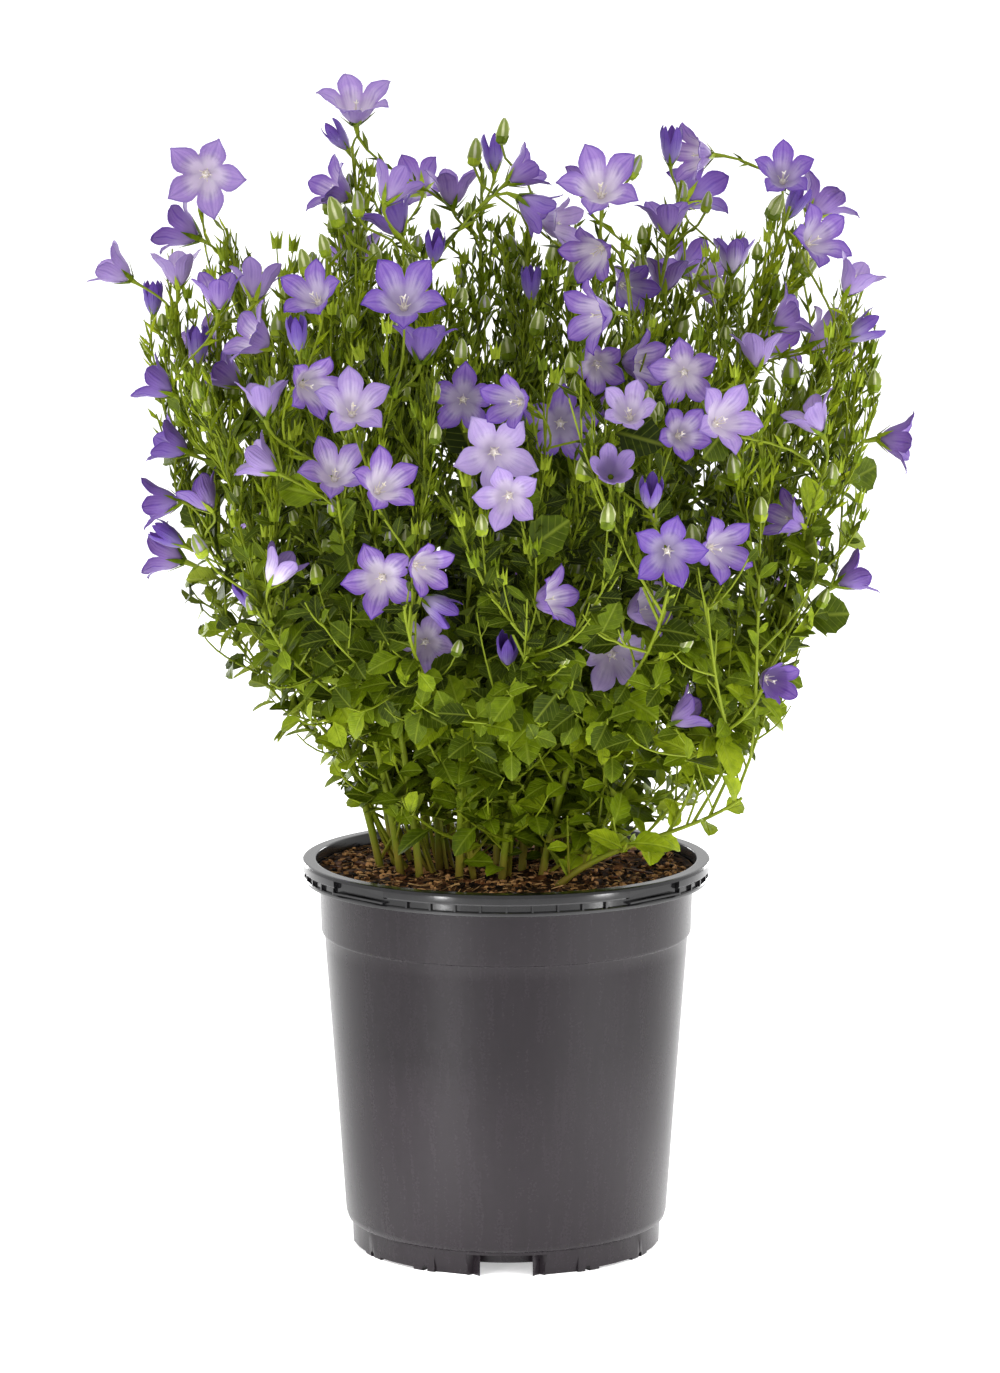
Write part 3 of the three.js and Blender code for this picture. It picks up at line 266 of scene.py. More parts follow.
# Blooms read from the photograph: column, row, width in pixels, the way each faces (F front, B
# back, L left,
# R right, U up, D down, the strongest first) and how far each is open, from 0 for furled to 1
BLOOM_PLAN = (
    (356, 107, 70, "UF", 1), (337, 135, 24, "UL", 0.1), (205, 175, 75, "F", 1),
    (115, 269, 56, "LU", 0.8), (177, 269, 56, "U", 0.8), (153, 297, 28, "U", 0.1),
    (218, 292, 52, "U", 0.7), (256, 284, 54, "UB", 0.8), (313, 295, 56, "FUL", 0.9),
    (254, 338, 64, "LUF", 1), (198, 346, 28, "U", 0.3), (226, 374, 52, "LU", 0.8),
    (157, 384, 48, "LU", 0.7), (297, 333, 26, "U", 0.1), (264, 399, 52, "U", 0.8),
    (310, 386, 52, "FR", 0.9), (353, 407, 66, "FU", 1), (171, 444, 54, "LU", 0.8),
    (161, 502, 50, "L", 0.7), (202, 495, 50, "UL", 0.7), (168, 536, 36, "LU", 0.2),
    (261, 462, 58, "LU", 0.8), (335, 472, 62, "FU", 1), (383, 485, 60, "FUR", 1),
    (279, 569, 54, "UR", 0.6), (249, 597, 36, "UL", 0.3), (381, 579, 66, "F", 1),
    (423, 567, 54, "FR", 0.7), (438, 607, 44, "RD", 0.4), (424, 643, 60, "F", 0.9),
    (508, 650, 42, "UF", 0.3), (335, 189, 64, "LUF", 0.9), (392, 188, 54, "UBR", 0.8),
    (392, 219, 70, "UL", 0.9), (435, 246, 26, "UF", 0.1), (404, 300, 72, "FU", 1),
    (422, 343, 66, "U", 0.9), (453, 188, 64, "U", 0.8), (493, 154, 34, "U", 0.3),
    (524, 172, 56, "RU", 0.8), (534, 208, 52, "RD", 0.8), (557, 223, 46, "RF", 0.7),
    (601, 188, 74, "FU", 1), (594, 253, 60, "FLD", 0.9), (596, 315, 66, "LF", 1),
    (629, 287, 50, "FR", 0.7), (671, 146, 28, "U", 0.3), (696, 155, 62, "LF", 0.9),
    (667, 218, 64, "U", 0.9), (666, 274, 66, "U", 0.9), (733, 256, 46, "U", 0.6),
    (707, 279, 42, "BR", 0.8), (784, 174, 56, "FU", 0.9), (796, 202, 34, "UR", 0.2),
    (817, 239, 62, "FRU", 1), (855, 279, 54, "UR", 0.7), (789, 317, 62, "RU", 0.9),
    (758, 350, 58, "U", 0.8), (863, 330, 42, "RU", 0.4), (463, 400, 62, "F", 1),
    (512, 402, 54, "FL", 0.8), (561, 424, 70, "F", 1), (495, 453, 73, "F", 1),
    (508, 497, 62, "F", 0.9), (598, 366, 50, "F", 0.7), (638, 362, 62, "RF", 0.9),
    (684, 373, 62, "F", 1), (629, 411, 52, "FU", 0.8), (723, 420, 64, "FRU", 1),
    (682, 434, 46, "FB", 0.7), (612, 470, 40, "FU", 0.5), (651, 494, 32, "UF", 0.3),
    (812, 417, 60, "UL", 0.9), (897, 440, 60, "R", 0.9), (668, 552, 64, "F", 1),
    (719, 549, 62, "FR", 1), (789, 519, 60, "LUF", 0.8), (853, 576, 46, "RU", 0.7),
    (551, 599, 60, "RFU", 0.9), (643, 609, 62, "RFU", 0.9), (613, 656, 69, "F", 1),
    (773, 681, 46, "FR", 0.6), (687, 714, 46, "RU", 0.7), (531, 282, 26, "U", 0.1),
)
BLOOMS_BEHIND = 22

# Buds read from the photograph: column, row and length in pixels
BUD_PLAN = (
    (475, 152, 28), (503, 131, 26), (519, 137, 26), (335, 212, 32), (358, 204, 26), (324, 246, 24),
    (304, 262, 26), (468, 213, 24), (435, 219, 22), (553, 254, 30), (579, 272, 28), (635, 167, 26),
    (682, 192, 24), (707, 202, 22), (776, 207, 28), (810, 266, 24), (826, 284, 28), (868, 352, 24),
    (868, 374, 24), (821, 355, 26), (799, 396, 24), (753, 393, 26), (750, 457, 28), (747, 502, 30),
    (827, 571, 30), (461, 352, 26), (560, 384, 22), (575, 387, 22), (212, 383, 28), (199, 546, 26),
    (335, 612, 34), (425, 659, 28), (426, 515, 26), (456, 510, 24), (462, 610, 24), (651, 655, 28),
    (669, 623, 24), (689, 663, 24),
)


@dataclass(frozen=True)
class StemSize:
    """Sizes and bends of the stems."""

    foot_radius: float = 2.5
    tip_radius: float = 0.9
    branch_radius: float = 1.2
    taper: float = 1.5
    sides: int = 4
    steps: int = 5
    branch_sides: int = 3
    branch_steps: int = 4
    foot_height: float = 151
    low_rise: float = 0.36
    least_rise: float = 48
    low_reach: float = 0.12
    high_rise: float = 0.34
    high_reach: float = 0.3
    branch_turn: float = 0.6
    branch_up_turn: float = 0.5
    branch_reach: float = 0.35


@dataclass(frozen=True)
class GrowthSize:
    """Sizes of what grows on the stems, and the room that each asks for and takes."""

    bloom_depth: float = 16
    bloom_ball: float = 3.7
    bloom_modelled: float = 17
    bloom_least: float = 14.5
    bloom_most: float = 17.5
    bloom_per_pixel: float = 0.236
    stalk_radius: float = 0.8
    bud_length_per_pixel: float = 0.46
    bud_radius_per_pixel: float = 0.115
    spray_most: int = 36
    spray_blooms: int = 7
    spray_start_cost: float = 44
    spray_late_cost: float = 400
    spray_lowest: float = 200
    short_stalk: float = 24
    stalk_asks: float = 1.5
    stalk_takes: float = 1
    leaf_longest: float = 24
    leaf_shortest: float = 14
    leaf_spacing: float = 82
    leaf_lowest: float = 196
    leaf_highest: float = 400
    shoot_shortest: float = 24
    shoot_longest: float = 40
    shoot_spacing: float = 70
    shoot_highest: float = 300
    shoot_leaves: int = 2
    bract_length: float = 11
    bract_spacing: float = 46
    bract_lowest: float = 330
    foothold_gap: float = 7
    foothold_rise: float = 12
    foothold_slope: float = 0.35
    joint_gap: float = 0.25
    back_turn_share: float = 0.3
    back_turn_cost: float = 12
    aside_cost: float = 0.6
    foothold_most: int = 160
    ball_gap: float = 4
    shoot_lowest: float = 192
    shoot_room: float = 1.1
    shoot_foot: float = 0.8
    shoot_tip: float = 0.5
    above_rim: float = 190
    shorter_over: float = 200
    leaf_sky: float = 120


STEM = StemSize()
GROWTH = GrowthSize()
COMPASS = {
    "F": (0.0, -1.0, 0.0),
    "B": (0.0, 1.0, 0.0),
    "L": (-1.0, 0.0, 0.0),
    "R": (1.0, 0.0, 0.0),
    "U": (0.0, 0.0, 1.0),
    "D": (0.0, 0.0, -1.0),
}
COMPASS_WEIGHTS = (1, 0.62, 0.42)
DEPTH_TRIES = (0, 8, -8, 16, -16, 24, 32, -24, 40, 50)


class Room:
    """Keeps what has been placed, as balls on a grid, and tells where there is room for more."""

    CELL = 12

    def __init__(self) -> None:
        """Starts with nothing placed."""
        self.cells: dict[tuple[int, int, int], list[tuple[Triple, float, str]]] = {}

    def key(self, point: Triple) -> tuple[int, int, int]:
        """Returns the grid cell of a point."""
        cell = self.CELL
        return (
            math.floor(point[0] / cell), math.floor(point[1] / cell), math.floor(point[2] / cell)
        )

    def put(self, points: Iterable[Triple], radius: float, owner: str) -> None:
        """Places balls of one radius.

        Args:
            points: The balls' centres.
            radius: Their radius.
            owner: Whose they are.
        """
        for point in points:
            self.cells.setdefault(self.key(point), []).append((point, radius, owner))

    def is_free(self, points: Iterable[Triple], radius: float, *owners: str) -> bool:
        """Returns whether balls clear everything but what the named owners have placed."""
        return all(self.is_point_free(point, radius, owners) for point in points)

    def is_point_free(self, point: Triple, radius: float, owners: Sequence[str]) -> bool:
        """Returns whether one ball is clear."""
        i, j, k = self.key(point)
        for a in (i - 1, i, i + 1):
            for b in (j - 1, j, j + 1):
                for c in (k - 1, k, k + 1):
                    for other, wide, owner in self.cells.get((a, b, c), ()):
                        if gap_between(point, other) < radius + wide and owner not in owners:
                            return False
        return True


def along(path: Sequence[Triple], share: float) -> tuple[Triple, Triple]:
    """Returns the place and the direction at a share of a path, measured along its straight
    steps."""
    step = min(math.floor(share * (len(path) - 1)), len(path) - 2)
    within = share * (len(path) - 1) - step
    return mix(path[step], path[step + 1], within), unit(subtract(path[step + 1], path[step]))


def ring_frames(path: Sequence[Triple]) -> list[tuple[Triple, Triple]]:
    """Returns two directions across a path at each of its points, turning as little as they can."""
    right = square_to(unit(subtract(path[1], path[0])))[0]
    frames = []
    for i in range(len(path)):
        before, after = path[max(i - 1, 0)], path[min(i + 1, len(path) - 1)]
        way = unit(subtract(after, before))
        right = unit(subtract(right, times(way, dot(right, way))))
        frames.append((right, cross(way, right)))
    return frames


@dataclass
class Limb:
    """A tapered limb, as a faceted route and as the smooth curve that the route follows."""

    curve: Callable[[float], Triple]
    steps: int
    foot_radius: float
    tip_radius: float
    sides: int
    path: list[Triple] = field(init=False)
    radii: list[float] = field(init=False)
    length: float = field(init=False)
    balls: list[Triple] = field(init=False)
    frames: list[tuple[Triple, Triple]] = field(init=False)

    def __post_init__(self) -> None:
        """Works out the route, its thickness and the balls along it."""
        steps = self.steps
        self.path = [self.curve(i / steps) for i in range(steps + 1)]
        self.radii = [self.thickness(i / steps) for i in range(steps + 1)]
        self.length = 0.0
        for i in range(1, steps + 1):
            self.length += gap_between(self.path[i], self.path[i - 1])
        count = rounded(self.length / 4)
        self.balls = [along(self.path, i / count)[0] for i in range(count + 1)]
        self.frames = ring_frames(self.path)

    def thickness(self, share: float) -> float:
        """Returns the radius of the smooth limb at a share of its length."""
        return self.tip_radius + (self.foot_radius - self.tip_radius) * (1 - share) ** STEM.taper

    def radius_at(self, share: float) -> float:
        """Returns the radius of the faceted limb at a share of its length."""
        step = min(math.floor(share * (len(self.radii) - 1)), len(self.radii) - 2)
        within = share * (len(self.radii) - 1) - step
        return self.radii[step] + (self.radii[step + 1] - self.radii[step]) * within

    def skin_at(self, share: float, away: Triple) -> float:
        """Returns how far the limb's faceted skin lies from its axis towards a direction."""
        right, up = self.frames[rounded(share * (len(self.path) - 1))]
        facet = TURN / self.sides
        angle = math.atan2(dot(away, up), dot(away, right))
        within = angle - math.floor(angle / facet) * facet - facet / 2
        return (self.radius_at(share) * math.cos(facet / 2)) / math.cos(within)


@dataclass
class Stalk:
    """A bell's stalk: its faceted route, its ends' directions, and the balls along it."""

    path: list[Triple]
    way: Triple
    length: float
    balls: list[Triple]


@dataclass
class Bloom:
    """One bell: the joint with its stalk, the way it faces, its size and how far it is open."""

    base: Triple
    facing: Triple
    right: Triple
    up: Triple
    radius: float
    open: float
    roll: float
    index: int

    @classmethod
    def at(
        cls, centre: Triple, facing: Triple, radius: float, opening: float, roll: float, index: int
    ) -> "Bloom":
        """Returns a bell round a centre."""
        right, up = square_to(facing)
        base = subtract(centre, times(facing, GROWTH.bloom_depth / 2))
        return cls(base, facing, right, up, radius, opening, roll, index)

    def grown(self, shut: float, wide: float) -> float:
        """Returns a size of the bell, between its furled and its open value."""
        return (shut + (wide - shut) * self.open) * (self.radius / GROWTH.bloom_modelled)

    def point(self, radius: float, angle: float, height: float) -> Triple:
        """Returns a place on the bell."""
        across = add(
            times(self.right, math.cos(angle) * radius), times(self.up, math.sin(angle) * radius)
        )
        return add(add(self.base, across), times(self.facing, height))

    def balls(self) -> list[Triple]:
        """Returns points spread over the bell."""
        sinus = (self.grown(4.4, 8.4), self.grown(12, 10.6))
        shoulder = (self.grown(4.8, 12.9), self.grown(17, 14))
        shoulder_angle = (30 - 5 * self.open) * DEGREE
        tip = (self.grown(1.6, 17), self.grown(25, 16.4))
        points = [self.point(0, 0, 4)]
        for lobe in range(5):
            angle = self.roll + (lobe * TURN) / 5
            points.append(self.point(tip[0], angle, tip[1]))
            points.append(self.point(shoulder[0] * 0.96, angle, shoulder[1] * 0.98))
            points.append(self.point(sinus[0] * 0.75, angle, sinus[1] * 0.8))
            points.append(self.point(sinus[0], angle + TURN / 10, sinus[1]))
            points.append(self.point(shoulder[0], angle - shoulder_angle, shoulder[1]))
            points.append(self.point(shoulder[0], angle + shoulder_angle, shoulder[1]))
        return points


@dataclass
class Spray:
    """Bells and the stalks that join them."""

    name: str
    stalks: list[Stalk] = field(default_factory=list)
    blooms: list[Bloom] = field(default_factory=list)
    leaves: list["Blade"] = field(default_factory=list)
    bracts: list["Blade"] = field(default_factory=list)


@dataclass
class Bud:
    """A bud, with the route of its stalk."""

    base: Triple
    facing: Triple
    length: float
    radius: float
    route: list[Triple]


@dataclass
class Blade:
    """A leaf or a bract: its base, the way it points, the way its face looks, and its sizes."""

    base: Triple
    way: Triple
    face: Triple
    across: Triple
    length: float
    droop: float
    width: float = 1.0
    tone: float = 0.5

    def point(self, share: float, aside: float) -> Triple:
        """Returns a place on the leaf at a share of its length, that many lengths aside."""
        fold = abs(aside) * 0.35
        sag = self.droop * share * share
        flat = add(self.base, times(self.way, share * self.length))
        side = add(flat, times(self.across, aside * self.length))
        return add(side, times(self.face, (fold - sag) * self.length))


@dataclass
class Twig:
    """A thin side shoot."""

    path: list[Triple]
    foot_radius: float
    tip_radius: float

    def radii(self) -> list[float]:
        """Returns its radius at each point of its path."""
        last = len(self.path) - 1
        thinner = self.tip_radius - self.foot_radius
        return [self.foot_radius + thinner * i / last for i in range(last + 1)]


@dataclass
class Stem:
    """A leafy stem with its branches and what grows on them."""

    name: str
    index: int
    limbs: list[Limb] = field(default_factory=list)
    buds: list[Bud] = field(default_factory=list)
    leaves: list[Blade] = field(default_factory=list)
    shoots: list[Twig] = field(default_factory=list)
    tufts: list[Bud] = field(default_factory=list)
    bracts: list[Blade] = field(default_factory=list)


@dataclass
class Foothold:
    """A place that a stalk can leave from, and what it costs to choose it."""

    start: Triple
    way: Triple
    cost: float
    spray: Optional[Spray] = None


def limb_draw(first: int, stem: Stem, limb_index: int, item: int) -> Draw:
    """Returns the stream of numbers for one thing that grows on a limb."""
    return Draw(first + stem.index * STEM_SEEDS + limb_index * LIMB_SEEDS + item)


class Plant:
    """The growth of the whole plant, element by element as in the solids."""

    def __init__(self) -> None:
        """Grows the stems, the bells, the buds, the shoots, the leaves and the bracts in turn."""
        self.room = Room()
        self.stems = [self.grow_stem(plan, index) for index, plan in enumerate(STEM_PLAN)]
        for stem in self.stems:
            for limb in stem.limbs:
                self.room.put(limb.balls, limb.radii[0] + 0.3, stem.name)
        self.blooms = self.place_blooms()
        self.sprays = self.join_blooms()
        self.grow_buds()
        for stem in self.stems:
            self.grow_shoots(stem)
        for stem in self.stems:
            self.grow_leaves(stem)
        for stem in self.stems:
            self.grow_bracts(stem)

    @staticmethod
    def grow_stem(plan: tuple, index: int) -> Stem:
        """Grows one stem with its branches.

        Args:
            plan: The stem's row of STEM_PLAN.
            index: Its number.

        Returns:
            The stem, with limbs only.
        """
        root, tip_pixel, depth, branches = plan
        foot = (root[0], root[1], STEM.foot_height)
        tip = EYE.place_seen(tip_pixel[0], tip_pixel[1], depth)
        rise = tip[2] - foot[2]
        outward = (tip[0] - foot[0], tip[1] - foot[1], 0.0)
        low_lift = (0.0, 0.0, max(rise * STEM.low_rise, STEM.least_rise))
        second = add(foot, add(times(outward, STEM.low_reach), low_lift))
        third = subtract(
            tip, add(times(outward, STEM.high_reach), (0.0, 0.0, rise * STEM.high_rise))
        )

        def main_curve(t: float) -> Triple:
            """Returns a point of the stem."""
            return bezier(foot, second, third, tip, t)

        stem = Stem(numbered("leafy_stem", index), index)
        stem.limbs.append(
            Limb(main_curve, STEM.steps, STEM.foot_radius, STEM.tip_radius, STEM.sides)
        )
        for share, pixel, branch_depth in branches:
            start = main_curve(share)
            end = EYE.place_seen(pixel[0], pixel[1], branch_depth)
            length = gap_between(start, end)
            onward = unit(subtract(main_curve(share + 0.04), start))
            leave = unit(mix(onward, unit(subtract(end, start)), STEM.branch_turn))
            arrive = unit(mix(unit(subtract(end, start)), (0.0, 0.0, 1.0), STEM.branch_up_turn))
            outer = add(start, times(leave, length * STEM.branch_reach))
            inner = subtract(end, times(arrive, length * STEM.branch_reach))
            curve = Plant.curve_through(start, outer, inner, end)
            stem.limbs.append(
                Limb(
                    curve, STEM.branch_steps, STEM.branch_radius, STEM.tip_radius, STEM.branch_sides
                )
            )
        return stem

    @staticmethod
    def curve_through(a: Triple, b: Triple, c: Triple, d: Triple) -> Callable[[float], Triple]:
        """Returns a cubic curve as a function of t."""
        return lambda t: bezier(a, b, c, d, t)

    @staticmethod
    def facing_of(letters: str, draw: Draw) -> Triple:
        """Returns the direction that compass letters give, a little astray."""
        facing = (draw.between(-0.1, 0.1), draw.between(-0.1, 0.1), draw.between(-0.1, 0.1))
        for letter, weight in zip(letters, COMPASS_WEIGHTS):
            facing = add(facing, times(COMPASS[letter], weight))
        return unit(facing)

    def depth_beside(self, place: Triple) -> Optional[float]:
        """Returns the depth of the limb that carries what is seen at a place, if there is one."""
        front_share = 0.05 if place[2] > 445 else 0.5
        best: Optional[tuple[float, float]] = None
        for stem in self.stems:
            for limb in stem.limbs:
                for ball in limb.balls:
                    rise = place[2] - ball[2]
                    aside = abs(place[0] - ball[0])
                    if rise < 6 or rise > 80 or aside > 10 + rise * 0.6:
                        continue
                    cost = aside + rise * 0.3 + ball[1] * front_share
                    if best is None or cost < best[0]:
                        best = (cost, ball[1])
        return None if best is None else best[1]

    def place_blooms(self) -> list[Bloom]:
        """Places the bells seen in the photograph, and more of them round the back.

        Returns:
            All the bells.
        """
        blooms: list[Bloom] = []
        room = self.room
        for index, (column, row, width, letters, opening) in enumerate(BLOOM_PLAN):
            draw = Draw(BELL_SEED + index)
            facing = self.facing_of(letters, draw)
            roll = draw.between(0, TURN)
            first = EYE.place_seen(column, row, 0)
            reach = reach_at(first[2])
            half = math.sqrt(max(0.0, reach * reach - first[0] * first[0]))
            depth = self.depth_beside(first)
            wanted = (
                -draw.between(0.4, 0.6) * half if depth is None else depth - draw.between(8, 16)
            )
            radius = min(max(width * GROWTH.bloom_per_pixel, GROWTH.bloom_least), GROWTH.bloom_most)
            for shift in DEPTH_TRIES:
                centre = EYE.place_seen(column, row, wanted + shift)
                bloom = Bloom.at(centre, facing, radius, opening, roll, index)
                if room.is_free(bloom.balls(), GROWTH.bloom_ball):
                    break
            room.put(bloom.balls(), GROWTH.bloom_ball, f"bloom_{index}")
            blooms.append(bloom)
        for index in range(BLOOMS_BEHIND):
            self.place_bloom_behind(index, blooms)
        return blooms

    def place_bloom_behind(self, index: int, blooms: list[Bloom]) -> None:
        """Places one bell round the back, where there is room for it.

        Args:
            index: Its number.
            blooms: The bells placed so far.
        """
        draw = Draw(BACK_BELL_SEED + index)
        for _ in range(12):
            angle = draw.between(12, 168) * DEGREE
            height = draw.between(270, 490)
            reach = reach_at(height) * draw.between(0.86, 0.955)
            centre = (math.cos(angle) * reach, math.sin(angle) * reach, height)
            facing = unit((math.cos(angle), math.sin(angle), draw.between(0.2, 1.4)))
            radius = draw.between(GROWTH.bloom_least, GROWTH.bloom_modelled)
            opening, roll = draw.between(0.7, 1), draw.between(0, TURN)
            # A bell's owner in the room is counted from the plan's end, and its stalk's from the
            # list's
            bloom = Bloom.at(centre, facing, radius, opening, roll, len(blooms))
            if not self.room.is_free(bloom.balls(), GROWTH.bloom_ball):
                continue
            self.room.put(bloom.balls(), GROWTH.bloom_ball, f"bloom_{len(BLOOM_PLAN) + index}")
            blooms.append(bloom)
            return

    @staticmethod
    def footholds(limb: Limb | Stalk, bloom: Bloom, spray: Optional[Spray]) -> list[Foothold]:
        """Finds the places on a limb, or on a spray's stalk, that a new stalk can leave from.

        Args:
            limb: The limb or the stalk.
            bloom: The bell that the new stalk leads to.
            spray: The spray that the stalk belongs to, or None for a limb.

        Returns:
            The footholds, with their costs.
        """
        target = bloom.base
        found = []
        count = max(3, rounded(limb.length / GROWTH.foothold_gap))
        for i in range(1, count + 1):
            share = i / count
            place, direction = along(limb.path, share)
            rise = target[2] - place[2]
            aside = math.hypot(target[0] - place[0], target[1] - place[1])
            if rise < max(GROWTH.foothold_rise, aside * GROWTH.foothold_slope):
                continue
            if place[2] < GROWTH.spray_lowest:
                continue
            toward = subtract(target, place)
            sideways = unit(subtract(toward, times(direction, dot(toward, direction))))
            at_end = share > 0.99
            offset = 0.0
            if spray is None and at_end:
                offset = CLEARANCE + GROWTH.joint_gap
            if spray is None and not at_end:
                offset = CLEARANCE + limb.skin_at(share, sideways) + GROWTH.stalk_radius
            start = add(place, times(direction if at_end else sideways, offset))
            turn_back = 1 - dot(unit(toward), bloom.facing)
            cost = gap_between(start, target) * (1 + turn_back * GROWTH.back_turn_share)
            cost = cost + turn_back * GROWTH.back_turn_cost + aside * GROWTH.aside_cost
            found.append(Foothold(start, unit(mix(direction, unit(toward), 0.5)), cost, spray))
        return found

    def join_blooms(self) -> list[Spray]:
        """Joins each bell by a stalk to a spray near it, or to a stem as a new spray.

        Returns:
            The sprays.
        """
        sprays: list[Spray] = []
        order = sorted(range(len(self.blooms)), key=lambda i: self.blooms[i].base[2])
        for index in order:
            bloom = self.blooms[index]
            choices: list[Foothold] = []
            for spray in sprays:
                if len(spray.blooms) >= GROWTH.spray_blooms:
                    continue
                for stalk in spray.stalks:
                    choices.extend(self.footholds(stalk, bloom, spray))
            fresh = (
                GROWTH.spray_start_cost if len(sprays) < GROWTH.spray_most
                else GROWTH.spray_late_cost
            )
            for stem in self.stems:
                for limb in stem.limbs:
                    for hold in self.footholds(limb, bloom, None):
                        hold.cost = hold.cost + fresh
                        choices.append(hold)
            choices.sort(key=lambda hold: hold.cost)
            kept = self.clear_choice(choices, bloom, index)
            if kept is None:
                continue
            hold, stalk = kept
            spray = hold.spray
            if spray is None:
                spray = Spray(numbered("flower_spray", len(sprays)))
                sprays.append(spray)
            spray.stalks.append(stalk)
            spray.blooms.append(bloom)
            self.room.put(stalk.balls, GROWTH.stalk_takes, spray.name)
        return sprays

    def clear_choice(
        self, choices: list[Foothold], bloom: Bloom, index: int
    ) -> Optional[tuple[Foothold, Stalk]]:
        """Returns the cheapest foothold whose stalk is clear, with the stalk, or else the cheapest
        of all."""
        fallback = None
        for hold in choices[:GROWTH.foothold_most]:
            length = gap_between(hold.start, bloom.base)
            steps = 1 if length < GROWTH.short_stalk else 2
            path = curved_route(hold.start, hold.way, bloom.base, bloom.facing, steps, STALK_BEND)
            count = max(4, rounded(length / GROWTH.ball_gap))
            balls = [along(path, i / count)[0] for i in range(count)]
            stalk = Stalk(path, hold.way, length, balls)
            owners = (f"bloom_{index}", hold.spray.name if hold.spray else "")
            if self.room.is_free(balls[1:], GROWTH.stalk_asks, *owners):
                return hold, stalk
            fallback = fallback or (hold, stalk)
        return fallback

    def grow_buds(self) -> None:
        """Hangs each bud seen in the photograph on a stalk from the nearest leafy stem."""
        for index, (column, row, length) in enumerate(BUD_PLAN):
            draw = Draw(BUD_SEED + index)
            lean = (draw.between(-0.3, 0.3), draw.between(-0.3, 0.1), 1.0)
            first = EYE.place_seen(column, row, 0)
            choices = []
            for stem in self.stems:
                for limb in stem.limbs:
                    for i in range(4, 21):
                        place, direction = along(limb.path, i / 20)
                        target = EYE.place_seen(column, row, place[1] - 6)
                        rise = target[2] - place[2]
                        if rise < 4 or rise > 45 or abs(target[0] - place[0]) > 6 + rise * 0.8:
                            continue
                        choices.append((gap_between(place, target), stem, place, direction, target))
            choices.sort(key=lambda choice: choice[0])
            for _, stem, place, direction, target in choices[:10]:
                facing = unit(add(lean, times((first[0], 0.0, 0.0), 1 / 300)))
                radius = length * GROWTH.bud_radius_per_pixel
                long = length * GROWTH.bud_length_per_pixel
                base = subtract(target, times(facing, long / 2))
                balls = [add(base, times(facing, long * share)) for share in (0.15, 0.5, 0.85)]
                path = curved_route(place, direction, base, facing, 4, STALK_BEND)
                route = [along(path, i / 7)[0] for i in range(1, 8)]
                if not self.room.is_free(balls, radius + 0.6):
                    continue
                if not self.room.is_free(route, 0.9, stem.name):
                    continue
                self.room.put(balls, radius + 0.2, stem.name)
                self.room.put(route, 0.9, stem.name)
                stem.buds.append(Bud(base, facing, long, radius, path))
                break

    def grow_shoots(self, stem: Stem) -> None:
        """Grows short leafy side shoots low on each limb of a stem."""
        for limb_index, limb in enumerate(stem.limbs):
            count = math.floor(limb.length / GROWTH.shoot_spacing)
            for i in range(count):
                draw = limb_draw(SHOOT_SEED, stem, limb_index, i)
                place, direction = along(limb.path, (i + 0.5) / count)
                if place[2] < GROWTH.shoot_lowest or place[2] > GROWTH.shoot_highest:
                    continue
                for attempt in range(5):
                    angle = GOLDEN_TURN * i + stem.index + attempt * 1.3 + draw.between(-0.4, 0.4)
                    aside = beside(direction, angle)
                    way = unit(add(times(direction, 0.5), aside))
                    length = draw.between(GROWTH.shoot_shortest, GROWTH.shoot_longest)
                    end = add(place, add(times(way, length), (0.0, 0.0, length * 0.12)))
                    path = curved_route(
                        place, way, end, unit(add(way, (0.0, 0.0, 0.5))), 2, STALK_BEND
                    )
                    balls = [
                        along(path, share)[0] for share in (0.12, 0.25, 0.4, 0.55, 0.7, 0.85, 1)
                    ]
                    if any(ball[2] < GROWTH.above_rim for ball in balls) or not self.room.is_free(
                        balls, GROWTH.shoot_room, stem.name
                    ):
                        continue
                    self.room.put(balls, GROWTH.shoot_room, stem.name)
                    stem.shoots.append(Twig(path, GROWTH.shoot_foot, GROWTH.shoot_tip))
                    for blade in range(GROWTH.shoot_leaves):
                        spot = along(path, 0.95 - blade * 0.4)
                        usual = self.leaf_length_at(end[2]) * 0.86
                        self.grow_leaf_at(stem, spot, blade * 2.6 + i, usual, draw)
                    break

    @staticmethod
    def leaf_length_at(height: float) -> float:
        """Returns the usual length of a leaf at a height."""
        share = min(max((height - GROWTH.above_rim) / GROWTH.shorter_over, 0), 1)
        return GROWTH.leaf_longest + (GROWTH.leaf_shortest - GROWTH.leaf_longest) * share

    def grow_leaves(self, stem: Stem) -> None:
        """Grows the large leaves along each limb of a stem."""
        for limb_index, limb in enumerate(stem.limbs):
            count = math.floor(limb.length / GROWTH.leaf_spacing)
            for i in range(count):
                spot = along(limb.path, (i + 0.6) / count)
                if spot[0][2] < GROWTH.leaf_lowest or spot[0][2] > GROWTH.leaf_highest:
                    continue
                draw = limb_draw(LEAF_SEED, stem, limb_index, i)
                self.grow_leaf_at(
                    stem, spot, GOLDEN_TURN * i + stem.index, self.leaf_length_at(spot[0][2]), draw
                )

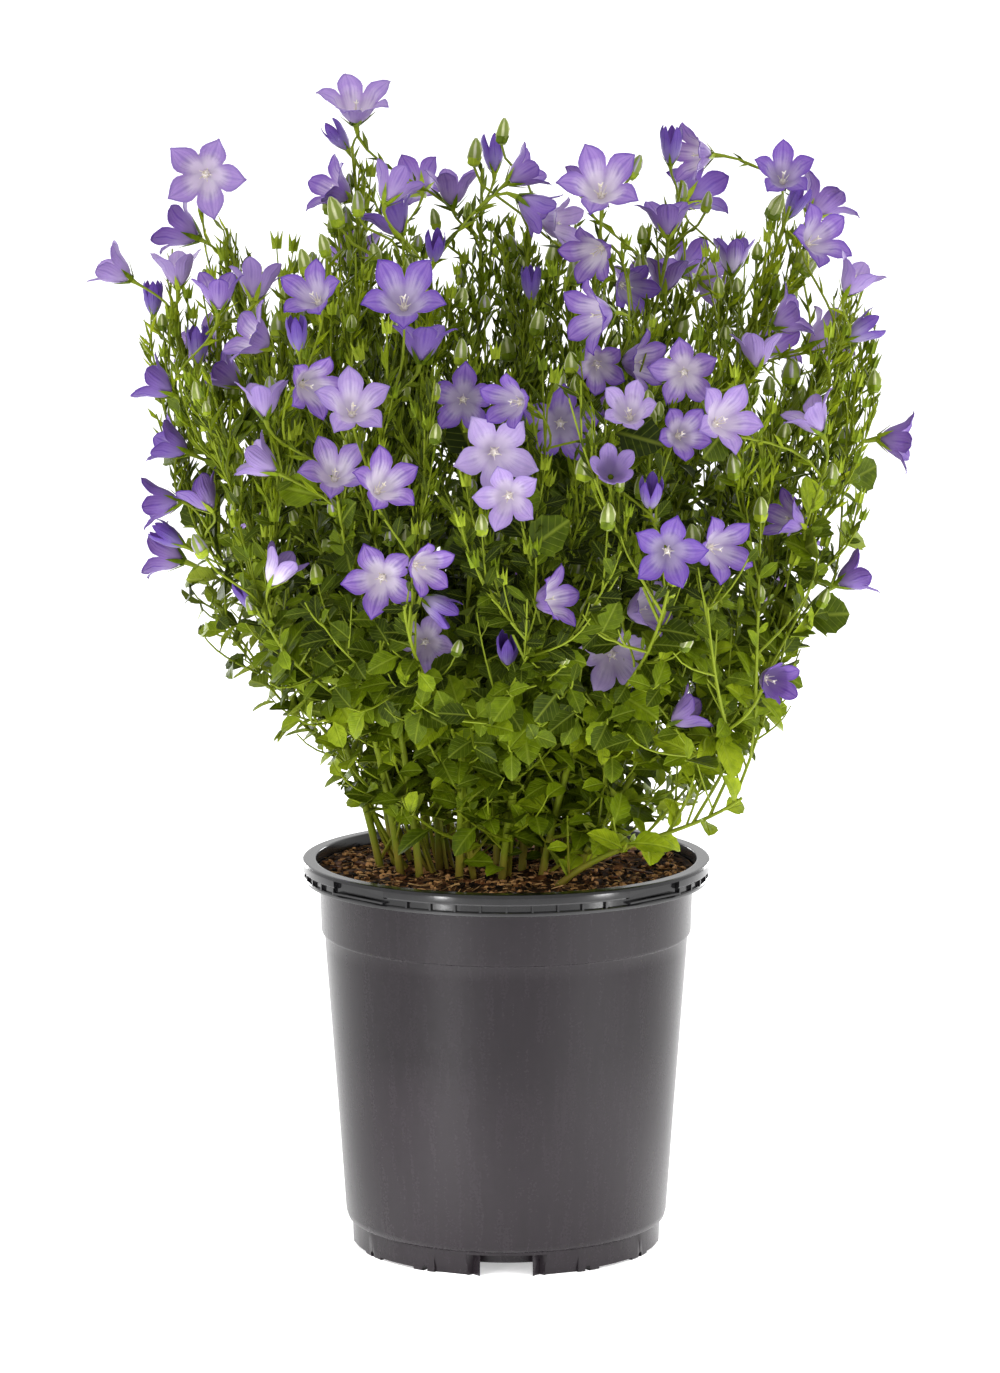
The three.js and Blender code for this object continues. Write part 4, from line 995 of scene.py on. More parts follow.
    def grow_leaf_at(
        self, stem: Stem, spot: tuple[Triple, Triple], start_angle: float, usual: float, draw: Draw
    ) -> None:
        """Grows one toothed leaf, turned about its stem until it finds room.

        Args:
            stem: The stem that it belongs to.
            spot: The place and the direction of the limb there.
            start_angle: The first angle about the limb to try.
            usual: The usual length of a leaf there.
            draw: The stream of numbers to draw from.
        """
        place, direction = spot
        length = usual * draw.between(0.85, 1.15)
        for attempt in range(6):
            angle = start_angle + attempt * 1.1
            aside = beside(direction, angle)
            way = unit(add(aside, times(direction, draw.between(0.1, 0.7))))
            sky = (place[0] / GROWTH.leaf_sky, place[1] / GROWTH.leaf_sky, draw.between(0.4, 1.1))
            face = unit(subtract(sky, times(way, dot(sky, way))))
            blade = Blade(place, way, face, cross(face, way), length, draw.between(0.05, 0.3))
            spots = ((0.4, -0.17), (0.4, 0.17), (0.66, -0.13), (0.66, 0.13), (0.92, 0))
            balls = [blade.point(share, side) for share, side in spots]
            roots = [blade.point(share, 0) for share in (0.12, 0.2, 0.3)]
            if any(ball[2] < 188 for ball in balls) or not self.room.is_free(balls, 2.9):
                continue
            if not self.room.is_free(roots, 0.9, stem.name):
                continue
            self.room.put(balls + roots, 2.1, stem.name)
            stem.leaves.append(blade)
            return

    def grow_bracts(self, stem: Stem) -> None:
        """Grows the narrow bracts of the solids on the upper part of a stem."""
        for limb_index, limb in enumerate(stem.limbs):
            count = math.floor(limb.length / GROWTH.bract_spacing)
            for i in range(count):
                place, direction = along(limb.path, (i + 0.3) / count)
                if place[2] < GROWTH.bract_lowest:
                    continue
                draw = limb_draw(BRACT_SEED, stem, limb_index, i)
                for attempt in range(4):
                    angle = GOLDEN_TURN * i + attempt * 1.5 + draw.between(-0.3, 0.3)
                    aside = beside(direction, angle)
                    way = unit(add(times(direction, 0.9), aside))
                    tip = add(place, times(way, GROWTH.bract_length * draw.between(0.8, 1.3)))
                    balls = [mix(place, tip, share) for share in (0.2, 0.45, 0.7, 1)]
                    if not self.room.is_free(balls, 0.9, stem.name):
                        continue
                    self.room.put(balls, 0.8, stem.name)
                    across = unit(cross(way, direction))
                    length = gap_between(place, tip)
                    stem.bracts.append(
                        Blade(place, way, cross(way, across), across, length, 0.0, 0.4)
                    )
                    break


# More growth, that only the pictures need


@dataclass(frozen=True)
class FillSize:
    """How thickly the bush is filled in."""

    lowest: float = 182
    lowest_left: float = 204
    left_of: float = -12
    inside: float = 0.93
    branchlet_spacing: float = 42
    twig_spacing: float = 20
    twig_spacing_high: float = 9
    leaf_spacing: float = 10.5
    leaf_spacing_high: float = 5.2
    leaf_spacing_middle: float = 7.5
    long_stalk: float = 26
    foot_shoots: int = 2
    broad_below: float = 300
    narrow_above: float = 352
    bud_above: float = 285
    bud_chance: float = 0.16
    young_above: float = 325
    young_chance: float = 0.5
    big_low: float = 225
    big_high: float = 400
    big_chance: float = 0.32
    roof_slope: float = 0.64
    high_slope: float = 1.5
    high_above: float = 484
    roof_clearance: float = 5
    roof_cell: float = 8
    roof_half: int = 30
    air: tuple[tuple[float, float], ...] = ((6, 9), (15, 9), (25, 7), (36, 5))
    twig_lowest: float = 182
    twig_foot: float = 0.6
    twig_tip: float = 0.35
    bud_room: float = 2.4
    limb_steps: int = 24
    branch_firsts: tuple[int, ...] = (0, 12, 17)
    sight: tuple[tuple[float, float], ...] = (
        (14, 10), (26, 10), (38, 9), (50, 9), (64, 8), (80, 8)
    )


FILL = FillSize()


class Thicket:
    """Fills the bush in with branchlets, twigs, small leaves, bracts and buds."""

    def __init__(self, plant: Plant) -> None:
        """Marks the bells, and the free air before each of them."""
        self.air = Room()
        for bloom in plant.blooms:
            self.air.put(bloom.balls(), 2.2, "bloom")
            middle = add(bloom.base, times(bloom.facing, GROWTH.bloom_depth / 2))
            self.air.put([middle], 6.5, "bloom")
            seen = unit(subtract((EYE.side, -EYE.distance, EYE.height), middle))
            for steps, way in ((FILL.air, bloom.facing), (FILL.sight, seen)):
                for ahead, wide in steps:
                    self.air.put(
                        [add(middle, times(way, ahead))], wide * (0.4 + 0.6 * bloom.open), "air"
                    )
        self.roof = self.roof_over([bloom.base for bloom in plant.blooms])

    @staticmethod
    def roof_over(anchors: Sequence[Triple]) -> np.ndarray:
        """Returns the bush's height over a square grid: cones that hang from the bells."""
        count = 2 * FILL.roof_half + 1
        lines = (np.arange(count) - FILL.roof_half) * FILL.roof_cell
        x, y = np.meshgrid(lines, lines, indexing="ij")
        roof = np.zeros((count, count))
        for anchor in anchors:
            away = np.hypot(x - anchor[0], 0.6 * (y - anchor[1]))
            slope = FILL.high_slope if anchor[2] > FILL.high_above else FILL.roof_slope
            roof = np.maximum(roof, anchor[2] - slope * away)
        return roof - FILL.roof_clearance

    def inside(self, point: Triple, share: float = FILL.inside) -> bool:
        """Returns whether a point lies within the bush."""
        if point[2] < self.lowest_at(point):
            return False
        column = min(
            max(rounded(point[0] / FILL.roof_cell) + FILL.roof_half, 0), 2 * FILL.roof_half
        )
        row = min(max(rounded(point[1] / FILL.roof_cell) + FILL.roof_half, 0), 2 * FILL.roof_half)
        if point[2] > self.roof[column, row]:
            return False
        shift = 8 if point[2] < 280 else 0
        return math.hypot(point[0] - shift, point[1]) < reach_at(point[2]) * share

    @staticmethod
    def lowest_at(point: Triple) -> float:
        """Returns how low the leaves hang: on the left the stems are bare at the foot."""
        return FILL.lowest if point[0] > FILL.left_of else FILL.lowest_left

    def is_clear(self, points: Sequence[Triple], radius: float) -> bool:
        """Returns whether points lie within the bush and clear of the bells."""
        return all(self.inside(point) for point in points) and self.air.is_free(points, radius)

    def fill(self, stem: Stem) -> None:
        """Grows more on every limb and shoot of a stem."""
        draw = Draw(THICKET_SEED + stem.index)
        shoots = list(stem.shoots)
        self.foot_out(stem, draw)
        for limb in stem.limbs:
            smooth = [limb.curve(i / FILL.limb_steps) for i in range(FILL.limb_steps + 1)]
            for first in FILL.branch_firsts:
                self.branch_out(stem, smooth[first:], draw)
            self.twig_out(stem, smooth, FILL.twig_spacing, draw)
            self.leaf_out(stem, smooth, draw, free=True)
        for shoot in shoots:
            self.twig_out(stem, shoot.path, FILL.twig_spacing, draw)
            self.leaf_out(stem, shoot.path, draw)
        for bud in stem.buds:
            self.leaf_out(stem, bud.route, draw)

    @staticmethod
    def foot_out(stem: Stem, draw: Draw) -> None:
        """Grows thin shoots out of the clump's middle, which join a stem further up."""
        limb = stem.limbs[0]
        foot = limb.curve(0)
        for _ in range(FILL.foot_shoots):
            inward = draw.between(0.4, 0.8)
            start = (foot[0] * inward, foot[1] * inward + draw.between(-7, 7), foot[2])
            joint = limb.curve(draw.between(0.22, 0.4))
            way = unit(subtract(limb.curve(0.5), limb.curve(0.3)))
            aside = subtract(joint, start)
            out = unit((aside[0] * 1.6, aside[1] * 1.6, aside[2]))
            stem.shoots.append(
                Twig(curved_route(start, out, joint, way, 10, 0.4), draw.between(1.1, 1.5), 0.8)
            )

    def dress(self, spray: Spray) -> None:
        """Grows bracts on a spray's long stalks."""
        draw = Draw(STALK_BRACT_SEED + len(spray.blooms))
        for bloom, stalk in zip(spray.blooms, spray.stalks):
            if stalk.length > FILL.long_stalk:
                route = curved_route(
                    stalk.path[0], stalk.way, bloom.base, bloom.facing, 8, STALK_BEND
                )
                self.leaf_out(spray, route[:7], draw, free=True)

    def side_route(
        self, spot: tuple[Triple, Triple], angle: float, lean: float, length: float, rise: float
    ) -> list[Triple]:
        """Returns the route of a side shoot.

        Args:
            spot: The place and the direction that it leaves from.
            angle: The angle about that direction.
            lean: How far it leans along that direction.
            length: Its length.
            rise: How far it rises, as a share of its length.

        Returns:
            The points of the route.
        """
        place, direction = spot
        aside = beside(direction, angle)
        way = unit(add(times(direction, lean), aside))
        end = add(place, add(times(way, length), (0.0, 0.0, length * rise)))
        return curved_route(
            place, way, end, unit(add(way, (0.0, 0.0, 1.1))), 6 if length > 30 else 4, 0.36
        )

    def branch_out(self, stem: Stem, path: Sequence[Triple], draw: Draw) -> None:
        """Grows branchlets on a limb, each with its own twigs and leaves."""
        length = length_of(path)
        count = round(length / FILL.branchlet_spacing)
        for i in range(count):
            spot = along(path, min((i + draw.between(0.2, 0.9)) / count, 0.97))
            angle = GOLDEN_TURN * i + draw.between(-0.5, 0.5)
            for attempt in range(5):
                high = spot[0][2] > FILL.narrow_above
                long = draw.between(45, 105) * (0.62 if high else 1)
                route = self.side_route(
                    spot, angle + attempt * 1.25, 2.5 if high else 1.15, long, 0.35
                )
                if spot[0][2] < 176 or not self.is_clear(route[2:], 1.4):
                    continue
                stem.shoots.append(Twig(route, 0.85, 0.45))
                self.twig_out(stem, route, FILL.twig_spacing, draw)
                self.leaf_out(stem, route, draw)
                break

    def twig_out(self, stem: Stem, path: Sequence[Triple], spacing: float, draw: Draw) -> None:
        """Grows twigs on a limb, each with its own leaves and perhaps a bud."""
        length = length_of(path)
        count = round(
            length / (FILL.twig_spacing_high if path[-1][2] > FILL.broad_below else spacing)
        )
        for i in range(count):
            spot = along(path, min((i + draw.between(0.2, 0.9)) / count, 0.98))
            if spot[0][2] < FILL.twig_lowest:
                continue
            angle = GOLDEN_TURN * i + draw.between(-0.6, 0.6)
            for attempt in range(3):
                upright = spot[0][2] > FILL.broad_below
                long = draw.between(8, 24) if upright else draw.between(16, 38)
                lean, rise = (2.8, 0.5) if upright else (0.9, 0.22)
                route = self.side_route(spot, angle + attempt * 2.0, lean, long, rise)
                if not self.is_clear(route[2:], 0.8):
                    continue
                stem.shoots.append(Twig(route, FILL.twig_foot, FILL.twig_tip))
                self.leaf_out(stem, route, draw)
                self.bud_out(stem, route, draw)
                break

    def bud_out(self, stem: Stem, route: Sequence[Triple], draw: Draw) -> None:
        """Ends a twig in a bud where the bush bears them."""
        chance = draw.number()
        end = route[-1]
        way = unit(add(unit(subtract(end, route[-2])), (0.0, 0.0, 0.6)))
        if end[2] < FILL.bud_above or chance > FILL.bud_chance * (1.25 if end[2] > 400 else 1):
            length = draw.between(6, 9.5)
            ahead = [add(end, times(way, length * share)) for share in (0.5, 1)]
            young = end[2] > FILL.young_above and draw.number() < FILL.young_chance
            if young and self.air.is_free(ahead, FILL.bud_room):
                stem.tufts.append(Bud(end, way, length, 1.0, []))
            return
        length = draw.between(6.5, 12.5)
        ahead = [add(end, times(way, length * share)) for share in (0.5, 1)]
        if self.is_clear(ahead, FILL.bud_room):
            stem.buds.append(Bud(end, way, length, length * draw.between(0.27, 0.35), [end, end]))

    def leaf_out(
        self, stem: Stem | Spray, path: Sequence[Triple], draw: Draw, free: bool = False
    ) -> None:
        """Grows small leaves, or bracts higher up, along a path.

        Args:
            stem: The stem or the spray that they belong to.
            path: The path.
            draw: The stream of numbers to draw from.
            free: Whether they may also stand out of the bush.
        """
        length = length_of(path)
        high = path[-1][2] > FILL.broad_below
        spacing = FILL.leaf_spacing
        if high:
            spacing = (
                FILL.leaf_spacing_high if path[-1][2] > FILL.narrow_above
                else FILL.leaf_spacing_middle
            )
        count = max(1, round(length / spacing))
        start = draw.between(0, TURN)
        for i in range(count):
            spot = along(path, min((i + draw.between(0.3, 1)) / count, 1))
            height = spot[0][2] + draw.between(-25, 25)
            for attempt in range(2):
                blade = self.blade_at(spot, start + GOLDEN_TURN * i + attempt * 2.2, height, draw)
                if (
                    free and FILL.big_low < spot[0][2] < FILL.big_high
                    and draw.number() < FILL.big_chance
                ):
                    blade.length, blade.width = draw.between(15, 24), draw.between(1, 1.35)
                tip = blade.point(1, 0)
                clear = self.air.is_free if free else self.is_clear
                low = self.lowest_at(tip)
                half = 0.3 * blade.width
                middle = [blade.point(0.5, aside) for aside in (0, half, -half)]
                if min(spot[0][2], tip[2]) > low and clear([*middle, tip], 1.2):
                    (stem.bracts if blade.width < 0.5 else stem.leaves).append(blade)
                    break

    @staticmethod
    def blade_at(spot: tuple[Triple, Triple], angle: float, height: float, draw: Draw) -> Blade:
        """Returns a leaf or a bract, by the height that it grows at."""
        place, direction = spot
        aside = beside(direction, angle)
        if height > FILL.narrow_above:
            lean, length, width, droop = (
                draw.between(1, 2.8), draw.between(6, 12), draw.between(0.34, 0.49), 0.05
            )
        elif height > FILL.broad_below:
            lean, length, width = (
                draw.between(0.4, 1.2), draw.between(7, 12), draw.between(0.5, 0.85)
            )
            droop = draw.between(0, 0.2)
        else:
            lean, length, width = (
                draw.between(0.1, 0.8), draw.between(9, 16), draw.between(0.85, 1.2)
            )
            droop = draw.between(0.05, 0.35)
        way = unit(add(aside, times(direction, lean)))
        sky = (place[0] / 110, place[1] / 110, draw.between(0.3, 1.1))
        face = unit(subtract(sky, times(way, dot(sky, way))))
        return Blade(place, way, face, cross(face, way), length, droop, width, draw.number())


# Modelling


def only(obj: bpy.types.Object) -> bpy.types.Object:
    """Makes an object the only one selected, and active."""
    bpy.ops.object.select_all(action="DESELECT")
    obj.select_set(True)
    bpy.context.view_layer.objects.active = obj
    return obj


def in_edit(mode: str = "EDIT") -> None:
    """Switches the active object's mode."""
    bpy.ops.object.mode_set(mode=mode)


def choose(
    obj: bpy.types.Object, test: Callable[[Sequence[float]], bool], faces: bool = False
) -> None:
    """Selects the corners, or the faces, whose place passes a test, and enters edit mode.

    Args:
        obj: The object.
        test: Tells from a place whether it is chosen.
        faces: Whether to choose faces by their centres.
    """
    in_edit("OBJECT")
    mesh = obj.data
    for part in (mesh.vertices, mesh.edges, mesh.polygons):
        part.foreach_set("select", np.zeros(len(part), bool))
    chosen = mesh.polygons if faces else mesh.vertices
    for item in chosen:
        item.select = test(item.center if faces else item.co)
    bpy.ops.object.mode_set(mode="EDIT")
    bpy.ops.mesh.select_mode(type="FACE" if faces else "VERT")


def apply_modifier(obj: bpy.types.Object, kind: str, **settings: object) -> None:
    """Adds a modifier to an object, sets it and applies it."""
    only(obj)
    modifier = obj.modifiers.new(kind.lower(), kind)
    for key, value in settings.items():
        setattr(modifier, key, value)
    bpy.ops.object.modifier_apply(modifier=modifier.name)


def cut(obj: bpy.types.Object, cutter: bpy.types.Object) -> None:
    """Cuts one object out of another and removes the cutter."""
    apply_modifier(
        obj, "BOOLEAN", operation="DIFFERENCE", solver="EXACT", object=cutter, use_self=True
    )
    bpy.data.objects.remove(cutter)


def pick_all() -> None:
    """Picks all of the mesh in edit mode."""
    bpy.ops.mesh.select_all(action="SELECT")


def edit_all() -> None:
    """Enters edit mode with all of the mesh picked."""
    in_edit()
    pick_all()


def five_round() -> None:
    """Repeats what is picked five times about the upright axis."""
    bpy.ops.mesh.spin(steps=4, angle=TURN * 0.8, center=(0, 0, 0), axis=(0, 0, 1), dupli=True)


def close_up(weld: float = 0) -> None:
    """Turns the mesh's faces outwards and leaves edit mode.

    Args:
        weld: The gap up to which corners are joined first, or 0 for none.
    """
    pick_all()
    if weld:
        bpy.ops.mesh.remove_doubles(threshold=weld)
    bpy.ops.mesh.normals_make_consistent(inside=False)
    in_edit("OBJECT")


def spun(name: str, profile: Sequence[tuple[float, float]], steps: int) -> bpy.types.Object:
    """Turns a profile about the vertical axis.

    Args:
        name: The object's name.
        profile: Radii and heights in millimetres.
        steps: How many steps make a full turn.

    Returns:
        The turned object.
    """
    bpy.ops.mesh.primitive_plane_add(size=0.001)
    obj = bpy.context.object
    obj.name = name
    edit_all()
    bpy.ops.mesh.merge(type="CENTER")
    start = profile[0]
    bpy.ops.transform.translate(value=(start[0] * MILLIMETRE, 0, start[1] * MILLIMETRE))
    for before, after in zip(profile, profile[1:]):
        move = ((after[0] - before[0]) * MILLIMETRE, 0, (after[1] - before[1]) * MILLIMETRE)
        bpy.ops.mesh.extrude_region_move(TRANSFORM_OT_translate={"value": move})
    pick_all()
    bpy.ops.mesh.spin(steps=steps, angle=TURN, center=(0, 0, 0), axis=(0, 0, 1))
    close_up(0.00001)
    return obj


@dataclass
class Master:
    """A shape modelled once, kept as arrays for stamping many times."""

    points: np.ndarray
    loops: np.ndarray
    totals: np.ndarray
    finishes: list[str]
    finish_of_face: np.ndarray
    chart: np.ndarray

    @classmethod
    def taken_from(cls, obj: bpy.types.Object, finishes: Sequence[str]) -> "Master":
        """Takes the arrays of an object, in its own units, and removes the object."""
        mesh = obj.data
        points = np.empty(len(mesh.vertices) * 3)
        mesh.vertices.foreach_get("co", points)
        loops = np.empty(len(mesh.loops), int)
        mesh.loops.foreach_get("vertex_index", loops)
        totals = np.empty(len(mesh.polygons), int)
        mesh.polygons.foreach_get("loop_total", totals)
        slots = np.empty(len(mesh.polygons), int)
        mesh.polygons.foreach_get("material_index", slots)
        chart = np.zeros(len(mesh.loops) * 2)
        if mesh.uv_layers:
            mesh.uv_layers.active.data.foreach_get("uv", chart)
        bpy.data.objects.remove(obj)
        return cls(
            points.reshape(-1, 3), loops, totals, list(finishes), slots, chart.reshape(-1, 2)
        )

    @classmethod
    def plain(cls, obj: bpy.types.Object, finish: str) -> "Master":
        """Takes the arrays of an object that has one finish."""
        obj.data.materials.append(None)
        return cls.taken_from(obj, [finish])


class Pile:
    """Collects stamped shapes and makes one mesh of them."""

    def __init__(self) -> None:
        """Starts empty."""
        self.points: list[np.ndarray] = []
        self.loops: list[np.ndarray] = []
        self.totals: list[np.ndarray] = []
        self.slots: list[np.ndarray] = []
        self.chart: list[np.ndarray] = []
        self.tone: list[np.ndarray] = []
        self.finishes: list[str] = []
        self.count = 0

    def add(self, master: Master, points: np.ndarray, tone: float) -> None:
        """Stamps a shape.

        Args:
            master: The shape.
            points: Its corners where they belong, in millimetres.
            tone: A number from 0 to 1 that its finish varies by.
        """
        for finish in master.finishes:
            if finish not in self.finishes:
                self.finishes.append(finish)
        lookup = np.array([self.finishes.index(finish) for finish in master.finishes])
        self.points.append(points)
        self.loops.append(master.loops + self.count)
        self.totals.append(master.totals)
        self.slots.append(lookup[master.finish_of_face])
        self.chart.append(master.chart)
        self.tone.append(np.full(len(points), tone))
        self.count += len(points)

    def build(
        self, name: str, finishes: dict[str, bpy.types.Material], angle: float
    ) -> bpy.types.Object:
        """Makes the object.

        Args:
            name: Its name.
            finishes: The finished materials by name.
            angle: The angle in degrees up to which its faces are shaded smooth.

        Returns:
            The object.
        """
        mesh = bpy.data.meshes.new(name)
        points = np.concatenate(self.points) * MILLIMETRE
        loops, totals = np.concatenate(self.loops), np.concatenate(self.totals)
        starts = np.concatenate(([0], np.cumsum(totals)[:-1]))
        mesh.vertices.add(len(points))
        mesh.vertices.foreach_set("co", points.ravel())
        mesh.loops.add(len(loops))
        mesh.loops.foreach_set("vertex_index", loops)
        mesh.polygons.add(len(totals))
        mesh.polygons.foreach_set("loop_start", starts)
        for finish in self.finishes:
            mesh.materials.append(finishes[finish])
        mesh.polygons.foreach_set("material_index", np.concatenate(self.slots))
        mesh.update(calc_edges=True)
        chart = mesh.uv_layers.new(name="chart")
        chart.data.foreach_set("uv", np.concatenate(self.chart).ravel())
        tone = mesh.attributes.new("tone", "FLOAT", "POINT")
        tone.data.foreach_set("value", np.concatenate(self.tone))
        mesh.validate()
        obj = bpy.data.objects.new(name, mesh)
        bpy.context.collection.objects.link(obj)
        only(obj)
        bpy.ops.object.shade_smooth_by_angle(angle=angle * DEGREE)
        return obj


def placed(
    points: np.ndarray, base: Triple, right: Triple, up: Triple, facing: Triple
) -> np.ndarray:
    """Returns points of a shape's own frame set out along three directions from a base."""
    return np.asarray(base) + points @ np.array([right, up, facing])


def charted(obj: bpy.types.Object, chart_of: Callable[[np.ndarray], np.ndarray]) -> None:
    """Gives an object a chart worked out from its corners' places.

    Args:
        obj: The object.
        chart_of: Turns places, a row for each, into chart coordinates.
    """
    mesh = obj.data
    points = np.empty(len(mesh.vertices) * 3)
    mesh.vertices.foreach_get("co", points)
    loops = np.empty(len(mesh.loops), int)
    mesh.loops.foreach_get("vertex_index", loops)
    layer = mesh.uv_layers.active or mesh.uv_layers.new(name="chart")
    layer.data.foreach_set("uv", chart_of(points.reshape(-1, 3))[loops].ravel())


# The shapes that repeat


@dataclass
class CorollaShape:
    """A bell's crown of five lobes, at one stage of opening. Rows run from the stalk to the lobes'
    tips."""

    opening: float
    columns: int = 6
    skin: float = 0.28

    # For each row: the radius and height furled, the same open, half the lobe's width furled and
    # open
    ROWS = (
        (1.4, 0.4, 1.5, 0.5, None, None),
        (2.9, 2.6, 4.3, 2.2, None, None),
        (4.1, 6, 6.6, 4.9, None, None),
        (4.8, 9.3, 8.1, 7.8, None, None),
        (5.1, 12, 9.2, 10.4, None, None),
        (4.9, 14.4, 10.7, 12.5, 2.75, 6.3),
        (4.9, 16.9, 12.8, 13.9, 2.6, 6.0),
        (4.4, 19.4, 14.8, 14.9, 2.2, 4.6),
        (3.4, 22, 16.6, 15.5, 1.5, 2.7),
        (2.3, 24, 18, 15.7, 0.8, 1.15),
        (1.5, 25.2, 19, 15.4, 0.16, 0.14),
    )

    def between(self, shut: float, wide: float) -> float:
        """Returns a size between its furled and its open value."""
        return shut + (wide - shut) * self.opening

    def row_point(self, row: int, side: float) -> Triple:
        """Returns the place in a row at a share of half the lobe's width, from -1 to 1."""
        shut_radius, shut_height, wide_radius, wide_height, shut_half, wide_half = self.ROWS[row]
        radius = self.between(shut_radius, wide_radius)
        height = self.between(shut_height, wide_height)
        half_angle = 36 * DEGREE
        if shut_half is None:
            rib = 0.05 * (1 - abs(side)) * min(row, 3) / 3
            angle = side * half_angle
            wide = radius * (1 + rib)
            dip = -0.9 * (1 - abs(side)) * (row == 4)
            return (wide * math.cos(angle), wide * math.sin(angle), height + dip)
        half = self.between(shut_half, wide_half)
        angle = side * half / radius
        curl = self.opening
        round_x, round_y = radius * math.cos(angle), radius * math.sin(angle)
        flat_x, flat_y = radius, side * half
        lobe = (row - 4) / 6
        crease = (
            self.between(0.25, 0.9) * (abs(side) ** 1.3 - 0.45)
            * math.sin(math.pi * min(lobe + 0.15, 1))
        )
        ripple = 0.28 * math.sin(row * 2.1 + side * 2.4) * abs(side) * self.opening
        return (
            round_x + (flat_x - round_x) * curl * 0.8,
            round_y + (flat_y - round_y) * curl,
            height + crease + ripple,
        )

    def model(self) -> Master:
        """Models one lobe's sector from a grid and spins it into the crown."""
        rows = len(self.ROWS) - 1
        bpy.ops.mesh.primitive_grid_add(x_subdivisions=self.columns, y_subdivisions=rows, size=2)
        obj = bpy.context.object
        mesh = obj.data
        chart = mesh.uv_layers.active or mesh.uv_layers.new(name="chart")
        shares = [(vertex.co.x, (vertex.co.y + 1) / 2) for vertex in mesh.vertices]
        for loop in mesh.loops:
            side, share = shares[loop.vertex_index]
            chart.data[loop.index].uv = ((side + 1) / 2, share)
        for vertex, (side, share) in zip(mesh.vertices, shares):
            vertex.co = self.row_point(rounded(share * rows), side)
        only(obj)
        edit_all()
        five_round()
        pick_all()
        bpy.ops.mesh.remove_doubles(threshold=0.02)
        bpy.ops.mesh.normals_make_consistent(inside=True)
        in_edit("OBJECT")
        mesh.materials.append(None)
        mesh.materials.append(None)
        apply_modifier(
            obj, "SOLIDIFY", thickness=self.skin, offset=-1, material_offset=1,
            material_offset_rim=0,
        )
        return Master.taken_from(obj, ["petal_back", "petal"])


def sepal_star() -> Master:
    """Models the five narrow sepals and the green seat that hold a bell."""
    bpy.ops.mesh.primitive_cone_add(vertices=4, radius1=1.0, radius2=0.08, depth=10)
    obj = bpy.context.object
    edit_all()
    bpy.ops.transform.resize(value=(0.45, 1.35, 1), center_override=(0, 0, 0))
    bpy.ops.transform.translate(value=(0, 0, 4.6))
    bpy.ops.mesh.bisect(plane_co=(0, 0, 3.8), plane_no=(0, 0, 1))
    bpy.ops.transform.resize(value=(1, 1.7, 1), center_override=(0, 0, 3.8))
    pick_all()
    bpy.ops.transform.resize(value=(1, 1, 1.15), center_override=(0, 0, 0))
    bpy.ops.transform.rotate(value=-44 * DEGREE, orient_axis="Y", center_override=(0, 0, 0))
    bpy.ops.transform.translate(value=(2.3, 0, -0.9))
    five_round()
    bpy.ops.mesh.primitive_uv_sphere_add(
        segments=8, ring_count=5, radius=2.15, location=(0, 0, 0.1)
    )
    close_up(0.01)
    return Master.plain(obj, "sepal")


def style() -> Master:
    """Models the pale style, its three-parted tip and the withered stamens about its foot."""
    bpy.ops.mesh.primitive_cylinder_add(vertices=6, radius=0.42, depth=9)
    obj = bpy.context.object
    edit_all()
    bpy.ops.transform.translate(value=(0, 0, 5.5))
    for count, away, height, tilt, cone in (
        (3, 0.62, 10.6, 38, {"vertices": 5, "radius1": 0.5, "radius2": 0.2, "depth": 2.2}),
        (5, 2.1, 4.2, 24, {"vertices": 4, "radius1": 0.42, "radius2": 0.16, "depth": 5.2}),
    ):
        for turn in range(count):
            angle = turn * TURN / count
            across, ahead = math.cos(angle), math.sin(angle)
            place = (away * across, away * ahead, height)
            bpy.ops.mesh.primitive_cone_add(location=place, **cone)
            for axis, lean in (("Y", -tilt * DEGREE * across), ("X", tilt * DEGREE * ahead)):
                bpy.ops.transform.rotate(value=lean, orient_axis=axis, center_override=place)
    bpy.ops.mesh.primitive_uv_sphere_add(segments=8, ring_count=4, radius=2, location=(0, 0, 0.9))
    close_up()
    return Master.plain(obj, "style")


def young_bud() -> Master:
    """Models a young bud one unit long: a green tip among five sepals that are still closed."""
    bpy.ops.mesh.primitive_cone_add(vertices=3, radius1=0.15, radius2=0, depth=0.96)
    obj = bpy.context.object
    edit_all()
    bpy.ops.transform.translate(value=(0, 0, 0.48))
    bpy.ops.transform.rotate(value=-15 * DEGREE, orient_axis="Y", center_override=(0, 0, 0))
    bpy.ops.transform.translate(value=(0.1, 0, 0))
    five_round()
    bpy.ops.mesh.primitive_ico_sphere_add(
        subdivisions=1, radius=0.2, location=(0, 0, 0.28), scale=(1, 1, 1.7)
    )
    close_up()
    return Master.plain(obj, "sepal")


